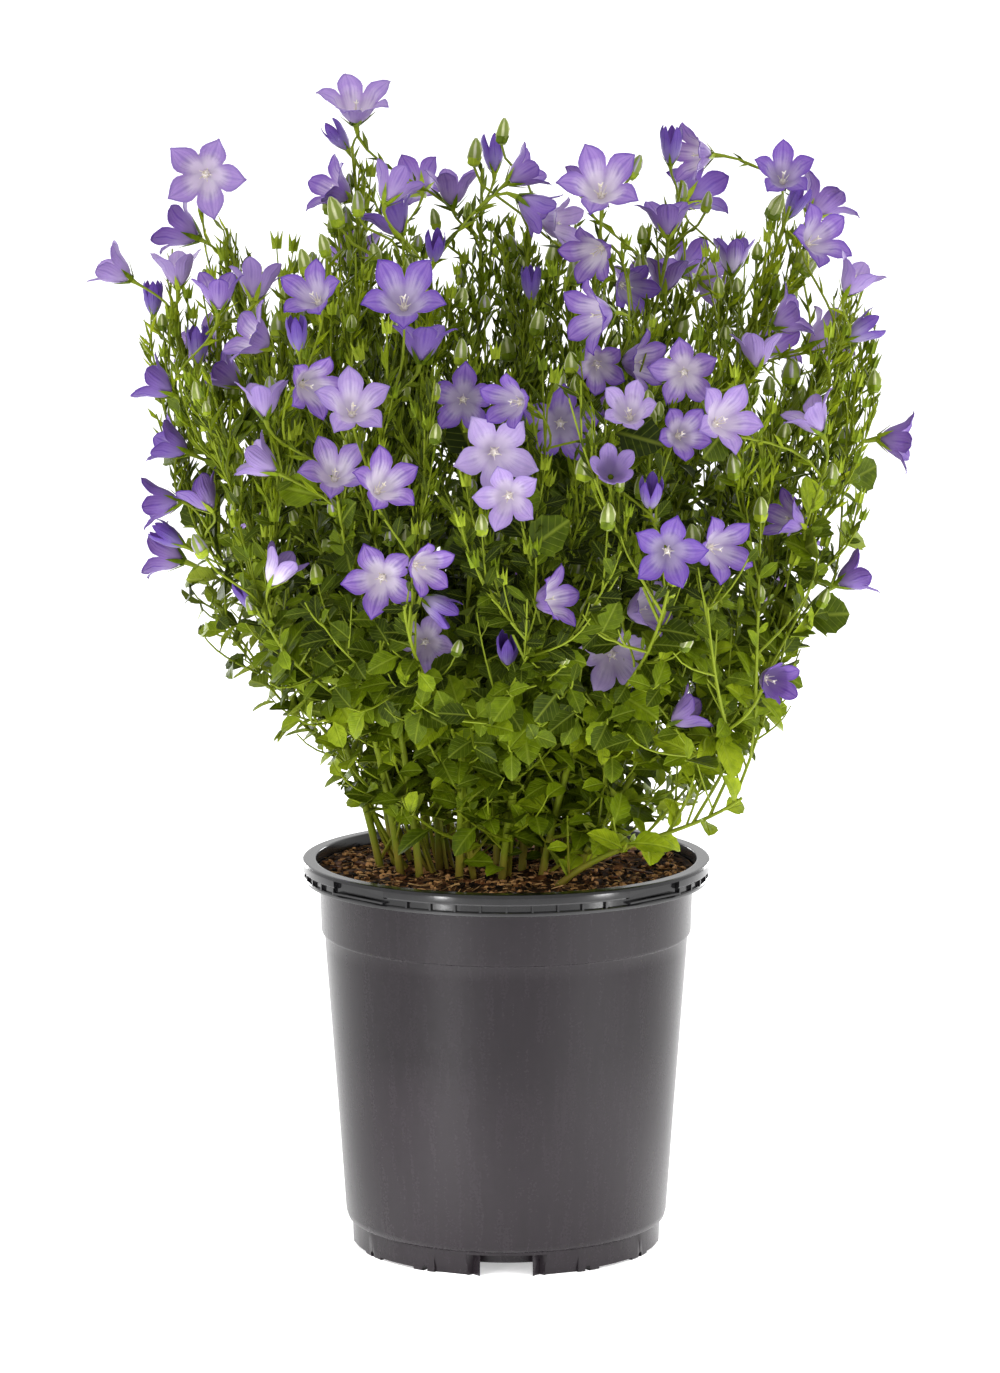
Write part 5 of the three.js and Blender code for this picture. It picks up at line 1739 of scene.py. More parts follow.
@dataclass(frozen=True)
class LeafShape:
    """A toothed blade one unit long: rows of shares along and half widths aside."""

    rows: tuple[tuple[float, float], ...]
    thick: float
    front: str
    back: str
    sides: int = 4

    def model(self) -> Master:
        """Models the blade by drawing a flat diamond or wedge out along its length, row by row, to
        a point."""
        turn = 30 * DEGREE if self.sides == 3 else 0
        bpy.ops.mesh.primitive_circle_add(
            vertices=self.sides, radius=1, fill_type="NGON", rotation=(90 * DEGREE, turn, 0)
        )
        obj = bpy.context.object
        only(obj)
        bpy.ops.object.transform_apply(location=False, rotation=True, scale=False)
        edit_all()
        along_before, half_before = self.rows[0]
        thick_before = self.thick
        bpy.ops.transform.resize(value=(half_before, 1, thick_before), center_override=(0, 0, 0))
        for share, half in self.rows[1:]:
            bpy.ops.mesh.extrude_region_move(
                TRANSFORM_OT_translate={"value": (0, share - along_before, 0)}
            )
            thick = self.thick * (0.35 if share > 0.93 else 1)
            bpy.ops.transform.resize(
                value=(half / half_before, 1, thick / thick_before), center_override=(0, share, 0)
            )
            along_before, half_before, thick_before = share, half, thick
        bpy.ops.mesh.merge(type="CENTER")
        close_up()
        mesh = obj.data
        mesh.materials.append(None)
        mesh.materials.append(None)
        for face in mesh.polygons:
            face.material_index = 0 if face.normal.z > 0 else 1
        charted(obj, lambda points: np.column_stack((points[:, 0] + 0.5, points[:, 1])))
        return Master.taken_from(obj, [self.front, self.back])


@dataclass(frozen=True)
class BudShape:
    """A pointed bud one unit long and one unit in radius, ribbed lengthways."""

    rows: tuple[tuple[float, float], ...]
    finish: str
    sides: int = 10

    def model(self) -> Master:
        """Models the bud by drawing a ring out along its length, then pinching every second side
        in."""
        bpy.ops.mesh.primitive_circle_add(vertices=self.sides, radius=1, fill_type="NGON")
        obj = bpy.context.object
        edit_all()
        before, wide_before = self.rows[0]
        bpy.ops.transform.resize(value=(wide_before, wide_before, 1), center_override=(0, 0, 0))
        for share, wide in self.rows[1:]:
            bpy.ops.mesh.extrude_region_move(
                TRANSFORM_OT_translate={"value": (0, 0, share - before)}
            )
            bpy.ops.transform.resize(
                value=(wide / wide_before, wide / wide_before, 1), center_override=(0, 0, share)
            )
            before, wide_before = share, wide
        pick_all()
        bpy.ops.mesh.normals_make_consistent(inside=False)
        choose(
            obj, lambda place: round(math.atan2(place[1], place[0]) / (TURN / self.sides)) % 2 == 1
        )
        bpy.ops.transform.resize(value=(0.84, 0.84, 1), center_override=(0, 0, 0.5))
        in_edit("OBJECT")
        mesh = obj.data
        mesh.materials.append(None)
        charted(
            obj,
            lambda points: np.column_stack(
                (np.arctan2(points[:, 1], points[:, 0]) / TURN + 0.5, points[:, 2])
            ),
        )
        return Master.taken_from(obj, [self.finish])


# Heights, and how much painted light (above 0) or painted shade (below 0) the leaves get there
PAINTED_LEAF_LIGHT = ((205, 250, 320, 400, 450), (0.3, 0.2, -0.14, -0.14, 0.08))
BROAD_LEAF = LeafShape(
    (
        (0, 0.03), (0.16, 0.07), (0.28, 0.24), (0.44, 0.335), (0.48, 0.3), (0.66, 0.315),
        (0.7, 0.27), (0.89, 0.165), (1, 0.03),
    ),
    0.02, "leaf", "leaf_back",
)
SMALL_LEAF = LeafShape(
    ((0, 0.04), (0.26, 0.23), (0.52, 0.335), (0.82, 0.24), (1, 0.05)),
    0.022, "leaf", "leaf_back",
)
BRACT = LeafShape(((0, 0.08), (0.42, 0.34), (1, 0.03)), 0.06, "bract", "bract", 3)
PLAIN_BUD = BudShape(((0, 0.6), (0.3, 1), (0.62, 0.95), (0.85, 0.62), (1, 0.2)), "bud", 10)
BUD_CUP = BudShape(((0, 0.5), (0.1, 0.98), (0.34, 1.08)), "sepal", 6)


def tube_arrays(
    routes: Sequence[tuple[Sequence[Triple], Sequence[float]]], resolution: int, finish: str
) -> Master:
    """Draws tubes along routes as one curve object and turns it into a mesh.

    Args:
        routes: The routes' points and the tube's radius at each.
        resolution: How round the tubes are.
        finish: Their finish.

    Returns:
        The tubes' arrays, in millimetres.
    """
    curve = bpy.data.curves.new("tubes", "CURVE")
    curve.dimensions = "3D"
    curve.bevel_depth = 1
    curve.bevel_resolution = resolution
    curve.use_fill_caps = True
    for points, radii in routes:
        spline = curve.splines.new("POLY")
        spline.points.add(len(points) - 1)
        spline.points.foreach_set("co", [value for point in points for value in (*point, 1.0)])
        spline.points.foreach_set("radius", list(radii))
    obj = bpy.data.objects.new("tubes", curve)
    bpy.context.collection.objects.link(obj)
    only(obj)
    bpy.ops.object.convert(target="MESH")
    obj = bpy.context.object
    in_edit()
    close_up()
    obj.data.materials.clear()
    return Master.plain(obj, finish)


# Finishes


Colour = tuple[float, float, float, float]


def paint(red: int, green: int, blue: int) -> Colour:
    """Returns a colour, given as it shows on a screen, in the light's own scale."""

    def straight(value: int) -> float:
        """Returns one channel in the light's own scale."""
        share = value / 255
        return share / 12.92 if share <= 0.04045 else ((share + 0.055) / 1.055) ** 2.4

    return (straight(red), straight(green), straight(blue), 1.0)


Stops = Sequence[tuple[float, Colour]]


class Shader:
    """Puts a material together, node by node."""

    def __init__(self, name: str, roughness: float) -> None:
        """Starts a material with its surface only.

        Args:
            name: The material's name.
            roughness: Its roughness.
        """
        self.material = bpy.data.materials.new(name)
        self.material.use_nodes = True
        self.tree = self.material.node_tree
        self.tree.nodes.clear()
        self.surface = self.tree.nodes.new("ShaderNodeBsdfPrincipled")
        self.surface.inputs["Roughness"].default_value = roughness
        output = self.tree.nodes.new("ShaderNodeOutputMaterial")
        self.tree.links.new(self.surface.outputs["BSDF"], output.inputs["Surface"])

    def node(self, kind: str, **inputs: object) -> bpy.types.Node:
        """Adds a node and sets or links its inputs by name."""
        node = self.tree.nodes.new(kind)
        for key, value in inputs.items():
            self.fill(node.inputs[key], value)
        return node

    def fill(self, socket: bpy.types.NodeSocket, value: object) -> None:
        """Links a socket to another, or gives it a plain value."""
        if isinstance(value, bpy.types.NodeSocket):
            self.tree.links.new(value, socket)
        else:
            socket.default_value = value

    def places(self, scale: Triple = (1.0, 1.0, 1.0)) -> bpy.types.NodeSocket:
        """Returns the object's own coordinates, stretched."""
        source = self.node("ShaderNodeTexCoord").outputs["Object"]
        return self.node("ShaderNodeMapping", Vector=source, Scale=scale).outputs["Vector"]

    def chart(self) -> tuple[bpy.types.NodeSocket, bpy.types.NodeSocket, bpy.types.NodeSocket]:
        """Returns the chart's two coordinates, and both as a vector."""
        source = self.node("ShaderNodeUVMap")
        source.uv_map = "chart"
        parts = self.node("ShaderNodeSeparateXYZ", Vector=source.outputs["UV"])
        return parts.outputs["X"], parts.outputs["Y"], source.outputs["UV"]

    def tone(self) -> bpy.types.NodeSocket:
        """Returns the number that each stamped shape has of its own."""
        source = self.node("ShaderNodeAttribute")
        source.attribute_name = "tone"
        return source.outputs["Fac"]

    def noise(
        self, vector: bpy.types.NodeSocket, scale: float, detail: float = 3
    ) -> bpy.types.NodeSocket:
        """Returns a cloudy pattern."""
        return self.node(
            "ShaderNodeTexNoise", Vector=vector, Scale=scale, Detail=detail
        ).outputs["Fac"]

    def ramp(self, share: bpy.types.NodeSocket, stops: Stops) -> bpy.types.NodeSocket:
        """Returns a colour chosen by a number."""
        node = self.node("ShaderNodeValToRGB", Fac=share)
        elements = node.color_ramp.elements
        while len(elements) < len(stops):
            elements.new(1)
        for element, (position, colour) in zip(elements, stops):
            element.position = position
            element.color = colour
        return node.outputs["Color"]

    def mask(
        self, share: bpy.types.NodeSocket, *stops: tuple[float, float]
    ) -> bpy.types.NodeSocket:
        """Returns a number from 0 to 1 chosen by a number, with straight lines between the
        stops."""
        return self.ramp(
            share, [(position, (level, level, level, 1.0)) for position, level in stops]
        )

    def blend(
        self, share: object, low: object, high: object, kind: str = "MIX"
    ) -> bpy.types.NodeSocket:
        """Returns a blend of two colours."""
        node = self.tree.nodes.new("ShaderNodeMix")
        node.data_type = "RGBA"
        node.blend_type = kind
        self.fill(node.inputs[0], share)
        self.fill(node.inputs[6], low)
        self.fill(node.inputs[7], high)
        return node.outputs[2]

    def sum_up(self, kind: str, low: object, high: object = 0.0) -> bpy.types.NodeSocket:
        """Returns the outcome of a sum."""
        node = self.tree.nodes.new("ShaderNodeMath")
        node.operation = kind
        self.fill(node.inputs[0], low)
        self.fill(node.inputs[1], high)
        return node.outputs[0]

    def total(self, low: object, high: object) -> bpy.types.NodeSocket:
        """Returns two numbers added."""
        return self.sum_up("ADD", low, high)

    def product(self, low: object, high: object) -> bpy.types.NodeSocket:
        """Returns two numbers multiplied."""
        return self.sum_up("MULTIPLY", low, high)

    def stretched(self, value: object, level: float, factor: float) -> bpy.types.NodeSocket:
        """Returns how far a number is from a level, times a factor."""
        return self.product(self.sum_up("SUBTRACT", value, level), factor)

    def relief(self, height: bpy.types.NodeSocket, distance: float, strength: float = 1) -> None:
        """Gives the surface a relief, its depth in metres."""
        node = self.node("ShaderNodeBump", Height=height, Distance=distance, Strength=strength)
        self.tree.links.new(node.outputs["Normal"], self.surface.inputs["Normal"])

    def colour(self, value: bpy.types.NodeSocket) -> None:
        """Colours the surface."""
        self.fill(self.surface.inputs["Base Color"], value)

    def set(self, **values: object) -> "Shader":
        """Sets the surface's inputs, named with underscores for spaces."""
        for key, value in values.items():
            self.fill(self.surface.inputs[key.replace("_", " ")], value)
        return self


@dataclass(frozen=True)
class PetalFinish:
    """A petal's face: a pale throat, veins, and a deeper colour towards the lobe's edge and tip."""

    name: str
    throat: Colour
    body: Colour
    tip: Colour
    vein: Colour
    furled: Colour
    pale: Colour
    throat_end: float
    vein_strength: float

    def make(self) -> bpy.types.Material:
        """Makes the material."""
        shader = Shader(self.name, 0.52)
        across, up, _ = shader.chart()
        side = shader.sum_up("ABSOLUTE", shader.sum_up("SUBTRACT", across, 0.5))
        cloud = shader.noise(shader.places(), 190)
        waver = shader.total(up, shader.stretched(cloud, 0.5, 0.2))
        end = self.throat_end
        spread = shader.product(shader.product(side, side), 0.9)
        base = shader.ramp(
            shader.total(waver, spread),
            [
                (0.0, self.throat), (end, self.throat), (end + 0.36, self.body), (0.84, self.body),
                (1.0, self.tip),
            ],
        )
        edge = shader.mask(side, (0.26, 0.0), (0.5, 0.75))
        lobe = shader.mask(up, (0.42, 0.0), (0.6, 1.0))
        edged = shader.blend(shader.product(edge, lobe), base, self.tip)
        stripes = shader.sum_up("SINE", shader.product(side, 46.0))
        fine = shader.mask(stripes, (0.55, 0.0), (1.0, 0.5))
        middle = shader.mask(side, (0.0, 1.0), (0.03, 0.9), (0.075, 0.0))
        reach = shader.mask(up, (0.2, 0.0), (0.4, 1.0), (0.85, 1.0), (1.0, 0.3))
        lines = shader.product(shader.sum_up("MAXIMUM", fine, middle), reach)
        veined = shader.blend(shader.product(lines, self.vein_strength), edged, self.vein)
        tone = shader.tone()
        faded = shader.blend(shader.mask(tone, (0.0, 0.5), (0.35, 0.0)), veined, self.pale)
        shader.colour(shader.blend(shader.mask(tone, (0.4, 0.0), (1.0, 0.85)), faded, self.furled))
        shader.relief(shader.total(lines, cloud), 0.0003, 0.6)
        shader.set(
            Subsurface_Weight=0.12, Subsurface_Scale=0.002, Sheen_Weight=0.05,
            Specular_IOR_Level=0.22,
        )
        shader.surface.inputs["Subsurface Radius"].default_value = (0.8, 0.5, 1.0)
        return shader.material


@dataclass(frozen=True)
class LeafFinish:
    """A leaf's face or back: light midrib and margins, and a tone per leaf that holds painted
    light.
    """

    name: str
    shades: tuple[Colour, Colour, Colour, Colour]
    rib: Colour
    rib_strength: float
    roughness: float

    def make(self) -> bpy.types.Material:
        """Makes the material."""
        shader = Shader(self.name, self.roughness)
        across, up, _ = shader.chart()
        side = shader.sum_up("ABSOLUTE", shader.sum_up("SUBTRACT", across, 0.5))
        cloud = shader.noise(shader.places(), 260, 4)
        broad = shader.noise(shader.places(), 22, 2)
        mottle = shader.stretched(cloud, 0.5, 0.5)
        drift = shader.stretched(broad, 0.5, 0.9)
        # the tone holds painted light and painted shade as well as a random tone per leaf
        shade = shader.total(shader.tone(), shader.total(mottle, drift))
        stops = [
            (position, colour) for position, colour in zip((0.05, 0.4, 0.72, 1.0), self.shades)
        ]
        base = shader.ramp(shade, stops)
        middle = shader.mask(side, (0.0, 1.0), (0.018, 0.7), (0.04, 0.0))
        slant = shader.sum_up("SINE", shader.stretched(up, side, 40.0))
        branches = shader.mask(slant, (0.8, 0.0), (1.0, 0.45))
        margin = shader.mask(side, (0.27, 0.0), (0.34, 0.6))
        lines = shader.sum_up("MAXIMUM", shader.sum_up("MAXIMUM", middle, branches), margin)
        shader.colour(shader.blend(shader.product(lines, self.rib_strength), base, self.rib))
        shader.relief(shader.sum_up("SUBTRACT", cloud, lines), 0.0004, 0.7)
        shader.set(Specular_IOR_Level=0.1)
        return shader.material


@dataclass(frozen=True)
class CloudyFinish:
    """A finish of a few colours in clouds, with a relief."""

    name: str
    stops: Stops
    scale: float
    detail: float
    roughness: float
    depth: float
    tone_share: float = 0.0
    rise: tuple[float, float] = (0.0, 0.0)

    def make(self) -> bpy.types.Material:
        """Makes the material. Where there is a rise, the colours also follow the height, from its
        first to its last."""
        shader = Shader(self.name, self.roughness)
        places = shader.places()
        cloud = shader.noise(places, self.scale, self.detail)
        share = cloud
        if self.tone_share:
            tone = shader.stretched(shader.tone(), 0.5, self.tone_share)
            share = shader.total(share, tone)
        if self.rise[1]:
            height = shader.node("ShaderNodeSeparateXYZ", Vector=places).outputs["Z"]
            low, high = self.rise
            above = shader.stretched(height, low, 1 / (high - low))
            share = shader.total(shader.product(share, 0.5), shader.sum_up("MINIMUM", above, 0.6))
        shader.colour(shader.ramp(share, self.stops))
        shader.set(Specular_IOR_Level=0.14)
        shader.relief(cloud, self.depth)
        return shader.material


@dataclass(frozen=True)
class BudFinish:
    """A bud's skin: ribs of green and cream lengthways, whiter or more violet from bud to bud."""

    name: str
    green: Colour
    cream: Colour
    violet: Colour

    def make(self) -> bpy.types.Material:
        """Makes the material."""
        shader = Shader(self.name, 0.5)
        around, up, _ = shader.chart()
        ribs = shader.sum_up("SINE", shader.product(around, TURN * 5))
        cloud = shader.noise(shader.places(), 300, 3)
        stripe = shader.mask(
            shader.total(ribs, shader.sum_up("SUBTRACT", cloud, 0.5)), (0.0, 0.0), (0.8, 1.0)
        )
        tone = shader.tone()
        light = shader.blend(shader.mask(tone, (0.55, 0.0), (0.95, 1.0)), self.cream, self.violet)
        upper = shader.mask(up, (0.1, 0.15), (0.6, 0.8), (1.0, 0.45))
        shader.colour(shader.blend(shader.product(stripe, upper), self.green, light))
        shader.relief(ribs, 0.0002, 0.5)
        return shader.material


@dataclass(frozen=True)
class PotFinish:
    """Black moulded plastic, a little dusty."""

    name: str
    dark: Colour
    dusty: Colour
    roughness: float
    shine: float

    def make(self) -> bpy.types.Material:
        """Makes the material."""
        shader = Shader(self.name, self.roughness)
        places = shader.places()
        streaks = shader.noise(shader.places((1.0, 1.0, 0.12)), 260, 4)
        specks = shader.noise(places, 900, 3)
        dust = shader.total(shader.product(streaks, 0.6), shader.product(specks, 0.4))
        shader.colour(shader.ramp(dust, [(0.3, self.dark), (0.7, self.dusty)]))
        wear = shader.stretched(dust, 0.5, 0.06)
        shader.set(Roughness=shader.total(wear, self.roughness), Specular_IOR_Level=self.shine)
        shader.relief(specks, 0.00004, 0.5)
        return shader.material


def all_finishes() -> dict[str, bpy.types.Material]:
    """Makes every material of the plant.

    Returns:
        The materials by name.
    """
    rows = (
        PetalFinish(
            "petal", paint(212, 203, 218), paint(134, 106, 172), paint(72, 34, 134),
            paint(76, 40, 138), paint(76, 48, 140), paint(182, 168, 202), 0.26, 0.52,
        ),
        PetalFinish(
            "petal_back", paint(142, 124, 168), paint(126, 100, 164), paint(80, 46, 138),
            paint(76, 44, 136), paint(74, 48, 136), paint(156, 140, 182), 0.16, 0.6,
        ),
        LeafFinish(
            "leaf", (paint(29, 40, 1), paint(60, 75, 3), paint(100, 119, 8), paint(148, 164, 28)),
            paint(138, 152, 50), 0.4, 0.5,
        ),
        LeafFinish(
            "leaf_back",
            (paint(58, 70, 16), paint(84, 98, 22), paint(118, 132, 34), paint(150, 162, 52)),
            paint(156, 166, 76), 0.5, 0.6,
        ),
        LeafFinish(
            "bract", (paint(42, 55, 1), paint(80, 96, 1), paint(120, 136, 6), paint(164, 176, 26)),
            paint(156, 168, 44), 0.3, 0.5,
        ),
        CloudyFinish(
            "stem",
            (
                (0.1, paint(104, 66, 38)), (0.34, paint(126, 112, 38)), (0.55, paint(104, 116, 20)),
                (0.85, paint(114, 128, 26)),
            ),
            120, 4, 0.55, 0.0003, 0.0, (0.168, 0.27),
        ),
        CloudyFinish(
            "sepal",
            ((0.2, paint(76, 94, 8)), (0.5, paint(110, 130, 16)), (0.8, paint(144, 160, 38))), 240,
            3, 0.5, 0.0002, 0.7,
        ),
        CloudyFinish(
            "style",
            ((0.3, paint(216, 208, 178)), (0.6, paint(238, 234, 222)), (0.8, paint(216, 200, 232))),
            420, 2, 0.55, 0.0001,
        ),
        BudFinish("bud", paint(112, 128, 34), paint(204, 206, 160), paint(158, 140, 190)),
        PotFinish("pot_plastic", paint(29, 25, 28), paint(35, 30, 34), 0.27, 0.21),
        PotFinish("pot_rim", paint(15, 15, 16), paint(27, 26, 28), 0.17, 0.46),
        CloudyFinish(
            "soil_bed",
            ((0.3, paint(13, 8, 4)), (0.5, paint(48, 28, 14)), (0.7, paint(116, 78, 46))), 260, 6,
            0.95, 0.0015,
        ),
        CloudyFinish(
            "soil_crumb",
            ((0.2, paint(18, 11, 6)), (0.5, paint(88, 56, 31)), (0.85, paint(206, 154, 102))), 500,
            4, 0.92, 0.0006, 0.9,
        ),
        CloudyFinish(
            "soil_fibre",
            ((0.2, paint(44, 29, 15)), (0.5, paint(110, 78, 44)), (0.85, paint(212, 170, 116))),
            400, 3, 0.85, 0.0003, 0.8,
        ),
        CloudyFinish(
            "bark_flake",
            ((0.3, paint(74, 42, 22)), (0.5, paint(106, 64, 34)), (0.8, paint(146, 98, 58))), 300,
            3, 0.8, 0.0005, 0.6,
        ),
    )
    return {row.name: row.make() for row in rows}


# The pieces of the plant


class Slot(Enum):
    """The material slots of the part's record."""

    POT = "pot"
    SOIL = "soil"
    FOLIAGE = "foliage"
    BLOOM = "bloom"


@dataclass
class Workshop:
    """What every piece is made with: the materials, and the way that a piece takes its node's
    place.
    """

    finishes: dict[str, bpy.types.Material]

    def hand_in(self, obj: bpy.types.Object, node: str, slot: Slot) -> None:
        """Puts a finished piece in place of a node of the part.

        Args:
            obj: The piece.
            node: The node that it stands for.
            slot: Its material slot, which is not used.
        """
        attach(obj, BODY)
        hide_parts(node)
        LOG.info("%s: %d faces", obj.name, len(obj.data.polygons))


@dataclass
class Bells:
    """The bells with their stalks, spray by spray."""

    workshop: Workshop
    greenery: "Greenery"
    stages: tuple[float, ...] = (0.22, 0.38, 0.6, 0.75, 0.9, 1.0)
    crowns: dict[float, Master] = field(init=False)
    sepals: Master = field(init=False)
    style: Master = field(init=False)

    def __post_init__(self) -> None:
        """Models what repeats."""
        self.crowns = {stage: CorollaShape(stage).model() for stage in self.stages}
        self.sepals = sepal_star()
        self.style = style()

    def uneven(self, points: np.ndarray, draw: Draw, opening: float) -> np.ndarray:
        """Returns a bell's points, a little uneven from lobe to lobe."""
        angle = np.arctan2(points[:, 1], points[:, 0])
        outward = np.clip((points[:, 2] - 5) / 12, 0, 1)
        wave = np.zeros(len(points))
        lift = np.zeros(len(points))
        for turns in (1, 2, 3):
            wave += draw.between(-0.035, 0.035) * np.cos(turns * angle + draw.between(0, TURN))
            lift += draw.between(-0.85, 0.85) * np.cos(turns * angle + draw.between(0, TURN))
        twist = draw.between(-0.06, 0.06) * outward
        wide = 1 + wave * outward * (0.4 + 0.6 * opening)
        x = points[:, 0] * wide
        y = points[:, 1] * wide
        turned = np.column_stack(
            (x * np.cos(twist) - y * np.sin(twist), x * np.sin(twist) + y * np.cos(twist))
        )
        return np.column_stack((turned, points[:, 2] + lift * outward * opening))

    def stamp(self, pile: Pile, green: Pile, bloom: Bloom, seed: int) -> None:
        """Stamps one bell: its crown into one pile, its sepals and style into another."""
        draw = Draw(seed)
        stage = min(self.stages, key=lambda value: abs(value - bloom.open))
        scale = bloom.radius / GROWTH.bloom_modelled * (0.74 + 0.26 * min(1, bloom.open / 0.55))
        turn = np.array([math.cos(bloom.roll), math.sin(bloom.roll)])
        furled = (1 - bloom.open) * 0.45 + draw.between(0, 0.16)
        tone = min(0.5 + furled * 1.1, 1) if bloom.open < 0.5 else draw.between(0, 0.8)

        def set_out(points: np.ndarray, size_share: float) -> np.ndarray:
            """Returns points rolled about the bell's axis, sized and put in place."""
            x = points[:, 0] * turn[0] - points[:, 1] * turn[1]
            y = points[:, 0] * turn[1] + points[:, 1] * turn[0]
            rolled = np.column_stack((x, y, points[:, 2])) * size_share
            return placed(rolled, bloom.base, bloom.right, bloom.up, bloom.facing)

        crown = self.crowns[stage]
        pile.add(crown, set_out(self.uneven(crown.points, draw, bloom.open), scale), tone)
        spread = self.sepals.points.copy()
        across, ahead = math.cos(TURN / 10), math.sin(TURN / 10)
        half_lobe = np.array([[across, -ahead], [ahead, across]])
        spread[:, :2] = (spread[:, :2] * (0.55 + 0.45 * bloom.open)) @ half_lobe
        green.add(self.sepals, set_out(spread, scale), draw.number())
        if bloom.open > 0.5:
            green.add(self.style, set_out(self.style.points, scale), draw.number())

    def build(self, spray: Spray, seed: int) -> None:
        """Builds one spray's pieces."""
        pile, green = Pile(), Pile()
        routes = []
        for bloom, stalk in zip(spray.blooms, spray.stalks):
            self.stamp(pile, green, bloom, seed + bloom.index)
            route = curved_route(stalk.path[0], stalk.way, bloom.base, bloom.facing, 8, STALK_BEND)
            routes.append((route, [0.6, 0.6, 0.58, 0.56, 0.55, 0.56, 0.62, 0.85, 1.6]))
        tubes = tube_arrays(routes, 1, "stem")
        green.add(tubes, tubes.points, 0.5)
        self.greenery.stamp_blades(green, spray, Draw(SPRAY_TONE_SEED + seed))
        node = spray.name
        finishes = self.workshop.finishes
        self.workshop.hand_in(pile.build(f"{node}_petals", finishes, 50), node, Slot.BLOOM)
        self.workshop.hand_in(green.build(f"{node}_stalks", finishes, 50), node, Slot.FOLIAGE)


@dataclass
class Greenery:
    """The stems with all that grows on them but the bells."""

    workshop: Workshop
    broad: Master = field(init=False)
    small: Master = field(init=False)
    bract: Master = field(init=False)
    bud: Master = field(init=False)
    cup: Master = field(init=False)
    tuft: Master = field(init=False)

    def __post_init__(self) -> None:
        """Models what repeats."""
        self.tuft = young_bud()
        self.broad, self.small, self.bract = BROAD_LEAF.model(), SMALL_LEAF.model(), BRACT.model()
        self.bud, self.cup = PLAIN_BUD.model(), BUD_CUP.model()

    @staticmethod
    def bent(master: Master, blade: Blade, twist: float) -> np.ndarray:
        """Returns a blade's points, folded along its midrib, drooping and a little twisted."""
        side = master.points[:, 0] * blade.width
        share = master.points[:, 1]
        lift = (
            0.35 * np.abs(side) - blade.droop * share * share + twist * side * share
            + master.points[:, 2]
        )
        local = np.column_stack((-side, share, lift)) * blade.length
        return placed(local, blade.base, blade.across, blade.way, blade.face)

    @staticmethod
    def tone_of(blade: Blade, draw: Draw) -> float:
        """Returns a blade's tone: random, with painted light and shade by its place in the bush."""
        x, y, z = blade.base
        # painted light towards the bush's sides, weighed mostly by x, and painted light or painted
        # shade by height
        outer = (0.7 * abs(x) + 0.3 * math.hypot(x, y)) / reach_at(z)
        painted_light = float(np.interp(z, *PAINTED_LEAF_LIGHT))
        return min(max(draw.number() * 0.62 + 0.5 * outer * outer + painted_light, 0), 0.88)

    def stamp_blades(self, pile: Pile, grown: Stem | Spray, draw: Draw) -> None:
        """Stamps the leaves and the bracts of a stem or a spray into a pile."""
        for blade in grown.leaves:
            master = self.broad if blade.length > 12.5 else self.small
            pile.add(
                master, self.bent(master, blade, draw.between(-0.3, 0.3)), self.tone_of(blade, draw)
            )
        for blade in grown.bracts:
            pile.add(
                self.bract, self.bent(self.bract, blade, draw.between(-0.4, 0.4)),
                self.tone_of(blade, draw),
            )

    @staticmethod
    def stamp_bud(
        pile: Pile, master: Master, bud: Bud, size: np.ndarray | float, tone: float
    ) -> None:
        """Stamps a bud's shape.

        Args:
            pile: The pile that it goes into.
            master: The shape.
            bud: The bud's place and direction.
            size: Its size across, upwards and along, or one number for all.
            tone: Its tone.
        """
        right, up = square_to(bud.facing)
        pile.add(master, placed(master.points * size, bud.base, right, up, bud.facing), tone)

    def build(self, stem: Stem) -> None:
        """Builds one stem's pieces."""
        draw = Draw(STEM_TONE_SEED + stem.index)
        leaves = Pile()
        self.stamp_blades(leaves, stem, draw)
        routes = [
            (
                [limb.curve(i / 20) for i in range(21)],
                [limb.thickness(i / 20) * 0.84 for i in range(21)],
            )
            for limb in stem.limbs
        ]
        twigs = [(twig.path, twig.radii()) for twig in stem.shoots]
        for bud in stem.buds:
            sized = np.array([bud.radius * 1.1, bud.radius * 1.1, bud.length])
            for master in (self.bud, self.cup):
                self.stamp_bud(leaves, master, bud, sized, draw.number())
            if gap_between(bud.route[0], bud.route[-1]) > 1:
                twigs.append((bud.route, [0.6] * len(bud.route)))
        for tuft in stem.tufts:
            self.stamp_bud(leaves, self.tuft, tuft, tuft.length, draw.between(0.3, 1))
        wood = Pile()
        for group, resolution in ((routes, 2), (twigs, 0)):
            tubes = tube_arrays(group, resolution, "stem")
            wood.add(tubes, tubes.points, 0.5)
        for pile, ending, angle in ((wood, "stems", 60), (leaves, "leaves", 35)):
            piece = pile.build(f"{stem.name}_{ending}", self.workshop.finishes, angle)
            self.workshop.hand_in(piece, stem.name, Slot.FOLIAGE)


